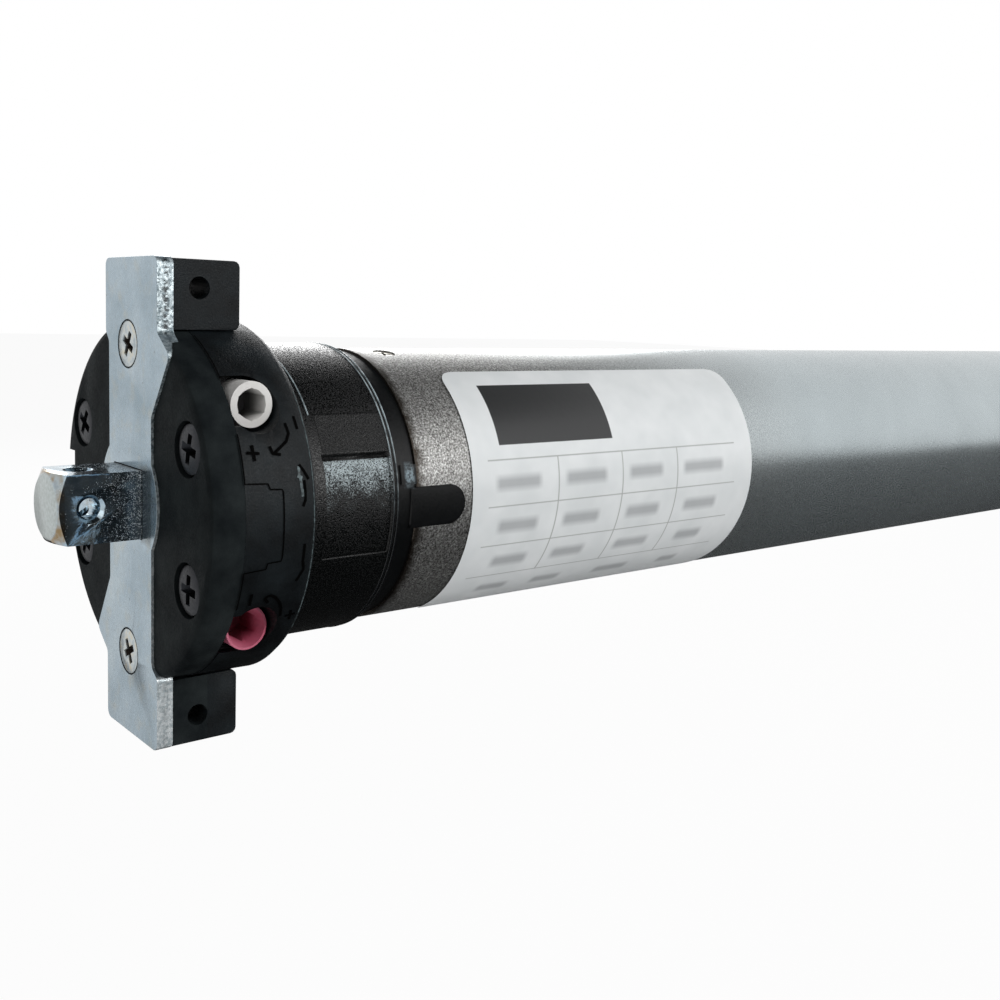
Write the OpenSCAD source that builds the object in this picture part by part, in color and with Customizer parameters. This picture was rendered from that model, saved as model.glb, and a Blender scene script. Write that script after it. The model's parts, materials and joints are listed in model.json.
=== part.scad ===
/* [Tube] */
// Outside diameter of the motor tube
tube_od = 45; // [45:0.5:50]
// Wall of the motor tube
tube_wall = 1.5; // [1.2:0.1:1.6]
// Length of the motor tube
tube_len = 410; // [370:1:440]

/* [Mounting plate] */
// Thickness of the steel plate
plate_t = 2.5; // [2:0.1:3]
// Height of the plate from end to end
plate_h = 71; // [68:1:76]
// Reach of the plate's ends on the near side of the axis
plate_end_near = 10.2; // [9.6:0.1:11]
// Reach of the plate's ends on the far side of the axis
plate_end_far = 8.2; // [7.8:0.1:9]
// How far the waist is drawn in from the ends
plate_waist_step = 2; // [1:0.1:2.5]
// The same on the far side
plate_waist_far = 1.2; // [0.5:0.1:2.5]
// How far the pointed lugs stand out past the ends
plate_lug = 4; // [2:0.5:5]
// Height of each lug's point above or below the axis
plate_lug_z = 22; // [20:0.5:23]
// Radius of the round swell of the waist at the pin
plate_swell_r = 10.2; // [9:0.1:11]
// How far the plate stands proud of the head's front face
plate_proud = 0.4; // [0.2:0.1:1]

/* [Square pin] */
// Size of the pin across its flats
pin_af = 10; // [9:0.5:11]
// How far the pin stands out of the plate
pin_out = 12.4; // [12:0.1:20]
// Length of the turned point of the pin
pin_point = 1.6; // [1:0.1:2.5]
// Diameter of the pin's flat end
pin_end_d = 8.7; // [7:0.1:9]
// Diameter of the two cross holes for the retaining clip
pin_hole_d = 3; // [2.5:0.1:4]
// Distance of the cross holes from the plate
pin_hole_x = 7.5; // [6:0.1:8]
// Depth of the countersink round each cross hole
pin_hole_sink = 0.6; // [0.3:0.1:1]

/* [Head] */
// Outside diameter of the head disc
head_od = 54; // [53:0.5:56]
// Length of the head disc from its front face to the crown ring
head_len = 15.8; // [15.4:0.1:18]
// Depth of the front cover at the parting line
cover_len = 4.8; // [4.6:0.1:5]
// Height of the two clip ears past the disc
ear_h = 10; // [8:0.5:12]
// Depth of the ears behind the plate
ear_len = 10.5; // [9:0.5:11]
// Radius of the ears' rear corners
ear_round = 0.9; // [0.4:0.1:1.5]
// Diameter of the hole through each ear
ear_hole_d = 3.2; // [2.5:0.1:4]
// Width of the cable notch in the rim
cable_notch_w = 9.4; // [8:0.1:11]
// Depth of the cable notch in the rim
cable_notch_d = 4.2; // [3:0.1:5]

/* [Screws] */
// Distance of the four cover screws from the axis
cover_screw_r = 21.3; // [20.8:0.1:21.6]
// Angle of the cover screws from the horizontal
cover_screw_angle = 27; // [24:1:30]
// Head diameter of the cover screws
cover_screw_head_d = 7; // [6:0.1:7.2]
// Diameter of the counterbore round each cover screw
cover_bore_d = 7.8; // [7.6:0.1:8]
// Distance of the two plate screws from the axis
plate_screw_z = 23; // [21.5:0.1:24]
// Head diameter of the plate screws
plate_screw_head_d = 7; // [6:0.1:8]
// How deep the cover screws reach into the body
cover_screw_reach = 7.6; // [6:0.2:7.6]
// How deep the plate screws reach into the body
plate_screw_reach = 6; // [5:0.2:6]
// Thread diameter of all the head's screws
screw_d = 3.2; // [2.5:0.1:3.5]
// Diameter of the screws that hold the tube
tube_screw_d = 3.5; // [3:0.1:4]

/* [Limit adjusters] */
// Distance of each adjuster above or below the axis
adjuster_z = 15.7; // [15.5:0.1:16]
// Distance of the adjusters behind the plate's outer face
adjuster_x = 8.8; // [8.6:0.1:9]
// Diameter of the adjuster's hexagon sleeve
adjuster_d = 6.4; // [6:0.1:6.6]
// Hexagon of the adjusting key across its flats
key_af = 4; // [3:0.5:4.5]
// Depth of the hexagon socket
key_depth = 6; // [4:0.5:6.5]
// Diameter of the opening round the adjuster
adjuster_hole_d = 7.5; // [7.4:0.1:8.2]
// How far the white adjuster's face lies behind the disc's round side
adjuster_sunk = 0.7; // [0.4:0.1:1]
// How much deeper the red adjuster's face lies
red_sunk = 0.85; // [0.4:0.05:1]

/* [Crown ring] */
// Outside diameter of the crown ring
crown_od = 46.6; // [46.4:0.1:48]
// Length of the crown ring
crown_len = 16.2; // [16:0.1:17]
// Radius of the journals that the crown ring turns on
crown_journal_r = 20; // [19.6:0.1:20.2]
// Depth of the recessed panel in the crown ring
crown_panel = 0.4; // [0.2:0.1:0.8]
// Teeth inside the crown ring
crown_teeth = 43; // [43:1:43]
// Teeth on each threaded rod's pinion
rod_teeth = 14; // [14:1:14]
// Module of the crown gear
crown_module = 0.8; // [0.79:0.01:0.81]

/* [Limit mechanism] */
// Height of each threaded rod above or below the axis
rod_z = 7.6; // [7.4:0.1:8]
// Diameter of the threaded rods
rod_d = 4; // [3.6:0.1:4.4]
// Diameter of every small journal in the limit mechanism
journal_d = 2.4; // [2:0.1:2.6]
// Module of the adjusting gears and the worms
adjust_module = 0.5; // [0.49:0.01:0.5]
// Teeth on each worm wheel
wheel_teeth = 16; // [16:1:16]
// Teeth on each long adjusting pinion
long_teeth = 10; // [10:1:10]
// Teeth round each travelling nut
nut_teeth = 24; // [24:1:24]
// Width of each travelling nut
nut_w = 4; // [3:0.5:5]
// Mean radius of the worm on each adjuster
worm_r = 2.1; // [2.1:0.05:2.2]
// Length of the limit housing inside the tube
housing_len = 41; // [41:0.5:44]

/* [Motor] */
// Diameter of the run capacitor
capacitor_d = 34; // [30:1:36]
// Length of the run capacitor
capacitor_len = 60; // [50:1:62]
// Bore of the stator
stator_bore_d = 24; // [22:0.5:26]
// Air gap between rotor and stator
air_gap = 0.4; // [0.3:0.1:0.8]
// Number of stator slots
slots = 12; // [12:6:12]
// Diameter of the rotor shaft
rotor_shaft_d = 8; // [7:0.1:8]
// Travel of the brake armature when it lets go
brake_gap = 0.5; // [0.3:0.1:0.6]

/* [Gearbox] */
// Module of the planetary gears
gear_module = 0.65; // [0.65:0.01:0.65]
// Teeth on every sun gear
sun_teeth = 12; // [12:1:12]
// Teeth on every planet gear
planet_teeth = 21; // [21:1:21]
// Face width of the first stage
stage_1_w = 10; // [8:1:11]
// Face width of the second stage
stage_2_w = 13; // [10:1:14]
// Face width of the third stage
stage_3_w = 17; // [14:1:18]
// Diameter of the pins that carry the planets
planet_pin_d = 4; // [3:0.5:5]

/* [Output] */
// Diameter of the output shaft
output_d = 16; // [14:0.5:16]
// Output shaft across its two flats
output_af = 13; // [11:0.5:13.5]
// How far the output shaft stands out of the end cap
output_out = 26; // [22:1:32]
// Length of the end cap inside the tube
cap_len = 43.3; // [34:0.1:50]
// Thickness of the end cap's flange
cap_flange = 3.5; // [2.5:0.5:5]

/* [Label] */
// Length of the label along the tube
label_len = 70.5; // [50:0.5:76]
// Distance of the label from the front end of the tube
label_x = 10.8; // [10:0.2:14]
// Angle that the label covers round the tube
label_angle = 130; // [90:5:140]
// Thickness of the label film
label_t = 0.12; // [0.1:0.02:0.2]

/* [Clearances] */
// Gap between a turning journal and its bearing
running = 0.05; // [0.03:0.01:0.08]
// Gap round a fixed piece that is pushed into its seat
seat = 0.1; // [0.05:0.01:0.15]
// End play beside a turning piece
end_play = 0.3; // [0.2:0.05:0.4]
// Backlash of every gear pair
backlash = 0.12; // [0.1:0.01:0.14]

/* [Hidden] */
$fn = 64;
eps = 0.01;
pressure = 25;
STEEL = "#b3bfc5";
BLACK = "#1f2122";
BRASS = "#c9a24b";

tube_r = tube_od / 2;
bore_r = tube_r - tube_wall;
fit_r = bore_r - seat;

// Places along the axis, from the plate's outer face at zero
face_x = plate_proud;
part_x = face_x + cover_len;
head_x = face_x + head_len;
crown_x = head_x + end_play;
crown_end_x = crown_x + crown_len;
collar_x = crown_end_x + end_play;
collar_len = 3.6;
tube_x = collar_x + collar_len;
tube_end_x = tube_x + tube_len;

head_r = head_od / 2;
cover_r = head_r - 0.25;
edge = 1;
wall = 2;

plate_top = plate_h / 2;
hub_len = 5;
neck_front_x = head_x + hub_len - wall;
neck_r = crown_module * crown_teeth / 2 - crown_module * 1.3;
crown_gear_x = head_x + hub_len + 0.5;
crown_gear_w = 5.4;
rear_hub_x = crown_gear_x + crown_gear_w + 0.4;
hub_bore_r = neck_r + seat;
neck_bore_r = neck_r - 2.4;
housing_end_x = tube_x + housing_len;
housing_bore_r = fit_r - 2.4;
end_plate_t = 3;

// Rods and shafts of the limit mechanism, on the near side of the axis
rod_dist = crown_module * (crown_teeth - rod_teeth) / 2;
rod_y = -sqrt(rod_dist * rod_dist - rod_z * rod_z);
rod_angle = atan2(rod_z, rod_y);
wheel_r = adjust_module * wheel_teeth / 2;
setting_z = adjuster_z - wheel_r - worm_r;
mesh_dist = adjust_module * (nut_teeth + long_teeth) / 2;
setting_y = rod_y + sqrt(mesh_dist * mesh_dist - (setting_z - rod_z) * (setting_z - rod_z));
wheel_w = 2.4;
worm_pitch = PI * adjust_module;
worm_turns = 5;
thread_h = 0.3;
adjuster_out_y = -sqrt(head_r * head_r - adjuster_z * adjuster_z) + adjuster_sunk;
sleeve_len = 7.5;
sleeve_y = adjuster_out_y + sleeve_len;
nut_x = tube_x + 10;
cheek_t = 0.8;
striker_len = nut_w + 2 * cheek_t + 2 * 0.2;
striker_x = nut_x + nut_w / 2 - striker_len / 2;
striker_travel = 8.07;
bridge_z = 0.2;
finger_z = 1;
finger_top_z = 4;
finger_y = 0.4;
shelf_t = 1;
switch_len = 12.8;
switch_w = 6.5;
switch_h = 5.8;
switch_y = -1.8;
plunger_r = 0.7;
plunger_out = 1.2;
plunger_len = 2.2;
trip_gap = 0.25;
white_switch_x = striker_x + striker_len + striker_travel + trip_gap + plunger_out;
red_switch_x = striker_x - striker_travel - trip_gap - plunger_out - switch_len;
cap_x = housing_end_x + 5;

// Gearbox and brake, worked out forwards from the far end of the tube
carrier_t = 5;
gear_gap = 1;
gear_front = 13;
gear_end = 2;
stage_w = [stage_1_w, stage_2_w, stage_3_w];
gearbox_len = gear_front + stage_1_w + stage_2_w + stage_3_w + 5 * gear_gap + 3 * carrier_t + gear_end;
cap_front_x = tube_end_x - cap_len;
ring_end_x = cap_front_x - 1;
ring_x = ring_end_x - gearbox_len;
ring_teeth = sun_teeth + 2 * planet_teeth;
gear_dist = gear_module * (sun_teeth + planet_teeth) / 2;
stage_1_x = ring_x + gear_front;
carrier_1_x = stage_1_x + stage_1_w + gear_gap;
stage_2_x = carrier_1_x + carrier_t + gear_gap;
carrier_2_x = stage_2_x + stage_2_w + gear_gap;
stage_3_x = carrier_2_x + carrier_t + gear_gap;
carrier_3_x = stage_3_x + stage_3_w + gear_gap;
stage_x = [stage_1_x, stage_2_x, stage_3_x];
carrier_x = [carrier_1_x, carrier_2_x, carrier_3_x];
carrier_r = gear_dist + planet_pin_d / 2 + 2;
sun_tip_r = gear_module * sun_teeth / 2 + 0.8 * gear_module;
magnet_len = 17;
magnet_x = ring_x - 1 - magnet_len;
spring_h = 2;
armature_t = 3;
armature_x = magnet_x - spring_h - 0.1 - brake_gap - armature_t;
brake_disc_t = 4;
brake_x = armature_x - 0.1 - brake_disc_t;
brake_disc_r = bore_r - 7;
brake_hub_r = rotor_shaft_d / 2 + 3;

// Motor: the stator fills what the capacitor in front and the gearbox behind leave of the tube
shield_t = 6;
winding_len = 12;
bearing_od = 16;
bearing_w = 5;
front_shield_x = cap_x + capacitor_len + 6;
rear_shield_x = brake_x - 3 - shield_t;
stator_x = front_shield_x + shield_t + 2 + winding_len;
stator_len = rear_shield_x - 2 - winding_len - stator_x;
bush_r = output_d / 2 + 3;
output_end_x = tube_end_x + cap_flange + output_out;
circlip_x = output_end_x - 5;
circlip_t = 1.2;

// Solids of revolution and prisms that lie along the axis
module xcyl(r, x0, x1) {
    translate([x0, 0, 0]) rotate([0, 90, 0]) cylinder(r = r, h = x1 - x0);
}

module xcone(r0, r1, x0, x1) {
    translate([x0, 0, 0]) rotate([0, 90, 0]) cylinder(r1 = r0, r2 = r1, h = x1 - x0);
}

module xring(ro, ri, x0, x1) {
    difference() {
        xcyl(ro, x0, x1);
        xcyl(ri, x0 - 1, x1 + 1);
    }
}

module xturned(pts) {
    rotate([0, 90, 0]) rotate_extrude() polygon([for (p = pts) [p[1], p[0]]]);
}

module xprism(x0, x1) {
    translate([x0, 0, 0]) rotate([90, 0, 90]) linear_extrude(x1 - x0) children();
}

module box(x0, x1, y0, y1, z0, z1) {
    translate([x0, y0, z0]) cube([x1 - x0, y1 - y0, z1 - z0]);
}

module at_yz(y, z) {
    translate([0, y, z]) children();
}

// A cylinder along Y, and the same mirrored under the axis for the red side
module ycyl(r, x, z, y0, y1) {
    translate([x, y0, z]) rotate([-90, 0, 0]) cylinder(r = r, h = y1 - y0);
}

module red_side() {
    mirror([0, 0, 1]) children();
}

function unit(v) = v / norm(v);

// Corners of an outline turned into short arcs of radius r
function rounded(pts, r, n = 4) = [
    for (i = [0 : len(pts) - 1])
        let (
            a = pts[(i + len(pts) - 1) % len(pts)],
            b = pts[i],
            c = pts[(i + 1) % len(pts)],
            u = unit(a - b),
            v = unit(c - b),
            half = acos(u * v) / 2,
            d = min(r / tan(half), norm(a - b) / 2.02, norm(c - b) / 2.02),
            rr = d * tan(half),
            m = b + unit(u + v) * (rr / sin(half)),
            p = b + u * d - m,
            q = b + v * d - m,
            s = atan2(p[1], p[0]),
            turn = (atan2(q[1], q[0]) - s + 540) % 360 - 180
        )
        for (k = [0 : n])
            m + rr * [cos(s + turn * k / n), sin(s + turn * k / n)]
];

// Half the angle of an involute tooth at radius r
function inv(a) = tan(a) - a * PI / 180;
function tooth_half(z, m, r, thin) =
    let (rb = m * z / 2 * cos(pressure), rr = max(r, rb))
    90 / z - thin / (m * z) * 180 / PI + (inv(pressure) - inv(acos(rb / rr))) * 180 / PI;

// Outline of a gear with a tooth at angle zero: thin is taken off each tooth at the pitch circle
function gear_outline(z, m, top, root, thin) =
    let (
        rp = m * z / 2,
        rt = rp + top,
        rf = rp - root,
        ht = tooth_half(z, m, rt, thin),
        hp = tooth_half(z, m, rp, thin),
        hf = tooth_half(z, m, rf, thin)
    )
    [
        for (i = [0 : z - 1], q = [[rf, -hf], [rp, -hp], [rt, -ht], [rt, ht], [rp, hp], [rf, hf]])
            let (a = 360 * i / z + q[1]) q[0] * [cos(a), sin(a)]
    ];

module gear(z, m) {
    polygon(gear_outline(z, m, 0.8 * m, 1.05 * m, backlash / 4));
}

module gear_hole(z, m) {
    polygon(gear_outline(z, m, 1.05 * m, 0.8 * m, -backlash / 4));
}

// Outline of the plate in Y and Z, grown by g: near side first, far side the same turned half round
function plate_side(end, step, g) =
    let (waist = end - step + g, lug = end + plate_lug + g)
    [
        [end + g, -plate_top - g],
        [end + g, -plate_lug_z - 2.6],
        [waist, -plate_lug_z - 1.2],
        [waist, plate_lug_z - 9],
        [lug, plate_lug_z],
        [end + g, plate_lug_z + 3 + g],
        [end + g, plate_top + g]
    ];
function plate_outline(g) = rounded(
    concat(
        [for (p = plate_side(plate_end_near, plate_waist_step, g)) [-p[0], p[1]]],
        [for (p = plate_side(plate_end_far, plate_waist_far, g)) [p[0], -p[1]]]
    ), 1.2);

module plate_solid(x0, x1, g) {
    union() {
        xprism(x0, x1) polygon(plate_outline(g));
        xcyl(plate_swell_r + g, x0, x1);
    }
}

module cover_screw_places() {
    for (sy = [-1, 1], sz = [-1, 1])
        translate([0, sy * cover_screw_r * cos(cover_screw_angle),
                   sz * cover_screw_r * sin(cover_screw_angle)])
            children();
}

module plate_screw_places() {
    for (s = [-1, 1])
        translate([0, 0, s * plate_screw_z]) children();
}

// Cross recess of a screw head, cut from the head's face at x
module cross_recess(x, size) {
    for (a = [0, 90])
        translate([x, 0, 0]) rotate([a + 35, 0, 0])
            box(-0.1, size * 0.28, -size / 2, size / 2, -size * 0.11, size * 0.11);
}

module mounting_plate() {
    color(STEEL)
    difference() {
        plate_solid(0, plate_t, 0);
        box(-1, plate_t + 1, -pin_af / 2, pin_af / 2, -pin_af / 2, pin_af / 2);
        plate_screw_places() {
            xcyl(screw_d / 2 + seat, -1, plate_t + 1);
            xcone(plate_screw_head_d / 2 + seat + eps, screw_d / 2 + seat, -eps, plate_sink + eps);
        }
    }
}
plate_sink = min(plate_t - 0.4, (plate_screw_head_d - screw_d) / 2);

module square_pin() {
    color(STEEL)
    difference() {
        union() {
            intersection() {
                box(-pin_out, 0, -pin_af / 2, pin_af / 2, -pin_af / 2, pin_af / 2);
                xcone(pin_end_d / 2, pin_af * 0.72, -pin_out, -pin_out + pin_point);
            }
            box(-pin_out + pin_point, part_x, -pin_af / 2, pin_af / 2, -pin_af / 2, pin_af / 2);
        }
        pin_cross_hole();
        rotate([90, 0, 0]) pin_cross_hole();
    }
}

module pin_cross_hole() {
    translate([-pin_hole_x, 0, 0]) {
        cylinder(d = pin_hole_d, h = 2 * pin_af, center = true);
        for (s = [0, 1]) mirror([0, 0, s])
            translate([0, 0, pin_af / 2 - pin_hole_sink])
                cylinder(d1 = pin_hole_d, d2 = pin_hole_d + 4 * pin_hole_sink, h = 2 * pin_hole_sink);
    }
}

module plate_screws() {
    color(STEEL)
    plate_screw_places() difference() {
        union() {
            xcone(plate_screw_head_d / 2, screw_d / 2, 0.05, plate_sink);
            xcyl(screw_d / 2, plate_sink - eps, part_x + plate_screw_reach);
        }
        cross_recess(0, plate_screw_head_d * 0.62);
    }
}

// Head disc: the two shells share these solids
function ear_corner(x, z, r, a) = [for (k = [0 : 3]) [x + r * cos(a + 30 * k), z + r * sin(a + 30 * k)]];
module ear(side, x0, x1, r = 0) {
    z0 = head_r - 1.6;
    zs = side > 0 ? z0 : 0.2 - plate_top;
    ze = side > 0 ? plate_top - 0.2 : -z0;
    difference() {
        translate([0, plate_end_far - 0.6, 0]) rotate([90, 0, 0])
            linear_extrude(plate_end_near + plate_end_far - 1.2)
                polygon(r == 0 ? [[x0, zs], [x1, zs], [x1, ze], [x0, ze]] : concat(
                    [[x0, ze], [x0, zs]], ear_corner(x1 - r, zs + r, r, -90), ear_corner(x1 - r, ze - r, r, 0)
                ));
        ycyl(ear_hole_d / 2, plate_t + ear_len * 0.4, side * (plate_top - ear_h * 0.42),
             -2 * head_r, 2 * head_r);
    }
}

module cable_notch(x0, x1) {
    box(x0, x1, head_r - cable_notch_d, head_r + 1, -cable_notch_w / 2, cable_notch_w / 2);
}

// Openings in the body's rim for the adjusters, open towards the cover, whose edge closes them
module adjuster_openings() {
    for (s = [0, 1]) mirror([0, 0, s]) {
        ycyl(adjuster_hole_d / 2, adjuster_x, adjuster_z, -2 * head_r, sleeve_y - 2);
        box(part_x - 1, adjuster_x, -2 * head_r, sleeve_y - 3,
            adjuster_z - adjuster_hole_d / 2 + 1, adjuster_z + adjuster_hole_d / 2);
    }
}

tongue_w = 10;
tongue_len = 5.6;
tongue_z = -0.3;
tongue_in_r = head_r - 3;

module cover_tongue(extra) {
    intersection() {
        xring(cover_r, tongue_in_r - extra, part_x - eps, head_x);
        union() {
            box(part_x - eps, part_x + tongue_len + extra, -head_r, 0,
                tongue_z - tongue_w / 2 - extra, tongue_z + tongue_w / 2 + extra);
            box(part_x - eps, part_x + tongue_len * 0.64 + extra, -head_r, 0,
                tongue_z - tongue_w / 2 - 0.9 - extra, tongue_z + tongue_w / 2 + 0.9 + extra);
        }
    }
}

module head_cover() {
    color(BLACK)
    difference() {
        union() {
            xturned([
                [face_x, 0], [face_x, cover_r - edge - 0.3], [face_x + 0.3, cover_r - 0.5 * edge],
                [face_x + edge, cover_r - 0.15], [part_x, cover_r], [part_x, 0]
            ]);
            cover_tongue(0);
            difference() {
                ear(-1, plate_t, plate_t + ear_len * 0.55);
                xcyl(head_r + seat, part_x, 2 * head_x);
            }
        }
        plate_solid(-1, plate_t, seat);
        box(-1, part_x + 1, -pin_af / 2 - seat, pin_af / 2 + seat,
            -pin_af / 2 - seat, pin_af / 2 + seat);
        cover_screw_places() {
            xcyl(screw_d / 2 + seat, -1, part_x + 1);
            xcyl(cover_bore_d / 2, -1, face_x + 2.2);
        }
        plate_screw_places() xcyl(screw_d / 2, 0, part_x + 1);
        for (s = [-1, 1])
            at_yz(setting_y, s * setting_z) xcyl(journal_d / 2 + running, part_x - 1.6, part_x + 1);
        cable_notch(-1, part_x + 1);
        difference() {
            ear(1, plate_t, part_x + 1);
            xcyl(cover_r, 0, part_x + 2);
        }
    }
}

module head_body() {
    color(BLACK)
    difference() {
        union() {
            xturned([
                [part_x, 0], [part_x, cover_r + 0.05], [head_x - edge, head_r],
                [head_x, head_r - 0.6 * edge], [head_x, crown_journal_r],
                [head_x + hub_len, crown_journal_r], [head_x + hub_len, 0]
            ]);
            difference() {
                ear(1, plate_t, plate_t + ear_len, ear_round);
                xcyl(cover_r + seat, 0, part_x);
            }
            ear(-1, plate_t + ear_len * 0.55, plate_t + ear_len, ear_round);
        }
        // Room inside the disc for the adjusters, the gears and the leads
        difference() {
            xcyl(head_r - 3.6, part_x - 1, head_x - wall);
            cover_screw_places() xcyl(screw_d / 2 + 1.7, 0, head_x);
            plate_screw_places() xcyl(screw_d / 2 + 2, 0, head_x);
            for (s = [-1, 1])
                ycyl(adjuster_hole_d / 2 + 1.1, adjuster_x, s * adjuster_z, -head_r, sleeve_y - 1);
        }
        xcyl(hub_bore_r, neck_front_x, head_x + hub_len + 1);
        xcyl(5, part_x, head_x + hub_len);
        cover_screw_places() xcyl(screw_d / 2, part_x - 1, part_x + cover_screw_reach + 0.4);
        plate_screw_places() xcyl(screw_d / 2, part_x - 1, part_x + plate_screw_reach + 0.4);
        housing_screw_places() {
            xcyl(screw_d / 2 + seat, 0, head_x + hub_len);
            xcyl(housing_screw_head_d / 2 + seat, 0, neck_front_x - wall);
        }
        for (s = [-1, 1]) {
            ycyl(adjuster_d / 2 + running, adjuster_x, s * adjuster_z, -head_r, sleeve_y + 1);
            at_yz(setting_y, s * setting_z) xcyl(journal_d / 2 + 0.3, 0, head_x + hub_len);
        }
        adjuster_openings();
        cover_tongue(seat);
        cable_notch(0, head_x - wall);
        box(part_x - 1, head_x - wall, socket_y - seat, head_r,
            -socket_w / 2 - seat, socket_w / 2 + seat);
    }
}
socket_w = cable_notch_w - 1;
socket_h = 6;
socket_y = head_r - cable_notch_d - socket_h;

module cover_screws() {
    color(BLACK)
    cover_screw_places() difference() {
        union() {
            xturned([
                [face_x + 0.3, 0], [face_x + 0.3, cover_screw_head_d * 0.42],
                [face_x + 0.8, cover_screw_head_d / 2], [face_x + 2.2, cover_screw_head_d / 2],
                [face_x + 2.2, 0]
            ]);
            xcyl(screw_d / 2, face_x + 2.2 - eps, part_x + cover_screw_reach);
        }
        cross_recess(face_x + 0.3, cover_screw_head_d * 0.62);
    }
}

// Plug socket for the supply lead, behind the notch in the rim
module cable_socket() {
    color("#e6e3da")
    difference() {
        box(part_x, head_x - wall, socket_y, head_r - cable_notch_d, -socket_w / 2, socket_w / 2);
        for (k = [-1.5 : 1 : 1.5])
            translate([(part_x + head_x - wall) / 2, head_r - cable_notch_d + 1, k * 2])
                rotate([90, 0, 0]) cylinder(d = 1.4, h = 5);
    }
}

// Adjuster: hexagon sleeve outside, worm inside, along -Y
module worm(y) {
    translate([adjuster_x, y, adjuster_z]) rotate([-90, 0, 0])
        linear_extrude(worm_turns * worm_pitch, twist = -360 * worm_turns, slices = 8 * worm_turns, $fn = 12)
            translate([0, thread_h]) circle(r = worm_r - 0.16);
}

module adjuster(y0, mouth_d, mouth_depth) {
    worm_y = setting_y - worm_turns * worm_pitch / 2;
    difference() {
        union() {
            ycyl(adjuster_d / 2, adjuster_x, adjuster_z, y0, sleeve_y);
            ycyl(worm_r - 0.6, adjuster_x, adjuster_z, sleeve_y - eps,
                 setting_y + worm_turns * worm_pitch / 2 + 2);
            worm(worm_y);
        }
        translate([adjuster_x, y0 - 1, adjuster_z]) rotate([-90, 0, 0]) rotate([0, 0, 30])
            cylinder(d = key_af / cos(30), h = key_depth + 1, $fn = 6);
        translate([adjuster_x, y0 - eps, adjuster_z]) rotate([-90, 0, 0])
            cylinder(d1 = mouth_d, d2 = key_af - 0.2, h = mouth_depth);
    }
}

module white_adjuster() {
    color("#e4e2e0") adjuster(adjuster_out_y, key_af + 0.4, 0.5);
}

// The key has worn the red adjuster's mouth into a wide funnel
module red_adjuster() {
    color("#d8728f") red_side()
        adjuster(adjuster_out_y + red_sunk, adjuster_d - 0.6, 2.2);
}

module crown_ring() {
    r = crown_od / 2;
    color(BLACK)
    difference() {
        union() {
            xturned([
                [crown_x, crown_journal_r + running], [crown_x, r - 0.5], [crown_x + 0.5, r],
                [crown_end_x - 1, r], [crown_end_x, r - 0.8],
                [crown_end_x, crown_journal_r + running]
            ]);
            xprism(crown_gear_x, crown_gear_x + crown_gear_w) difference() {
                circle(r = crown_journal_r + 1);
                gear_hole(crown_teeth, crown_module);
            }
        }
        for (a = [0, 180]) rotate([a, 0, 0]) crown_recess(r);
    }
}

crown_panel_x = crown_x + 3.4;
crown_panel_end_x = crown_end_x - 1.3;
crown_panel_top = 18.9;
crown_panel_angle = 36.4;
crown_groove_w = 0.8;
crown_groove_depth = 1.4;

module crown_recess(r) {
    intersection() {
        xring(r + 1, r - crown_panel, crown_panel_x, crown_panel_end_x);
        rotate([90, 0, -90]) linear_extrude(2 * crown_end_x, center = true)
            polygon([
                [0, 0],
                for (k = [0 : 7])
                    let (a = crown_panel_top - k * crown_panel_angle / 7)
                    2 * r * [cos(a), sin(a)]
            ]);
    }
    // groove along the panel's upper edge
    rotate([-crown_panel_top, 0, 0])
        box(crown_panel_x - 0.2, crown_panel_end_x + 0.1, -r - 1, -r + crown_groove_depth,
            -0.15, crown_groove_w);
}

module limit_housing() {
    color(BLACK)
    difference() {
        union() {
            xcyl(neck_r, neck_front_x, rear_hub_x + 1);
            xcyl(crown_journal_r, rear_hub_x, collar_x + 1);
            xcyl(tube_r - 0.4, collar_x, tube_x);
            xcyl(fit_r, tube_x - 1, housing_end_x);
            tube_tongue(seat);
            rotate([-collar_bump_angle, 0, 0])
                box(collar_x + 0.8, tube_x, -tube_r + 0.05, -bore_r, -1.5, 1.5);
        }
        difference() {
            union() {
                xcyl(neck_bore_r, neck_front_x + wall, rear_hub_x + 1.5);
                xcyl(housing_bore_r, rear_hub_x + 1.5, housing_end_x + 1);
            }
            // Shelf that the two switches are fixed to, and the rail that stops the strikers turning
            box(red_switch_x, white_switch_x + switch_len, switch_y, bore_r, -shelf_t / 2, shelf_t / 2);
            box(rear_hub_x + 1, housing_end_x - end_plate_t, -bore_r, rod_y - 3.3, -shelf_t, shelf_t);
        }
        for (s = [-1, 1]) {
            at_yz(rod_y, s * rod_z) {
                xcyl(crown_module * (rod_teeth / 2 + 1.2), crown_gear_x - 0.3,
                     crown_gear_x + crown_gear_w + 0.3);
                xcyl(journal_d / 2 + running, neck_front_x - 1, neck_front_x + wall + 1);
            }
            at_yz(setting_y, s * setting_z)
                xcyl(journal_d / 2 + running, neck_front_x - 1, neck_front_x + wall + 1);
        }
        housing_screw_places() xcyl(screw_d / 2, neck_front_x - 1, neck_front_x + 5);
        xcyl(3.5, neck_front_x - 1, neck_front_x + wall + 1);
        xring(fit_r + 5, housing_bore_r + 1.2, housing_end_x - end_plate_t, housing_end_x + 1);
        tube_screw_bores(0);
    }
}

housing_screw_r = neck_r - 2.5;
housing_screw_head_d = 5.4;
module housing_screw_places() {
    for (a = [-35, 0, 35])
        translate([0, housing_screw_r * cos(a), housing_screw_r * sin(a)]) children();
}

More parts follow.
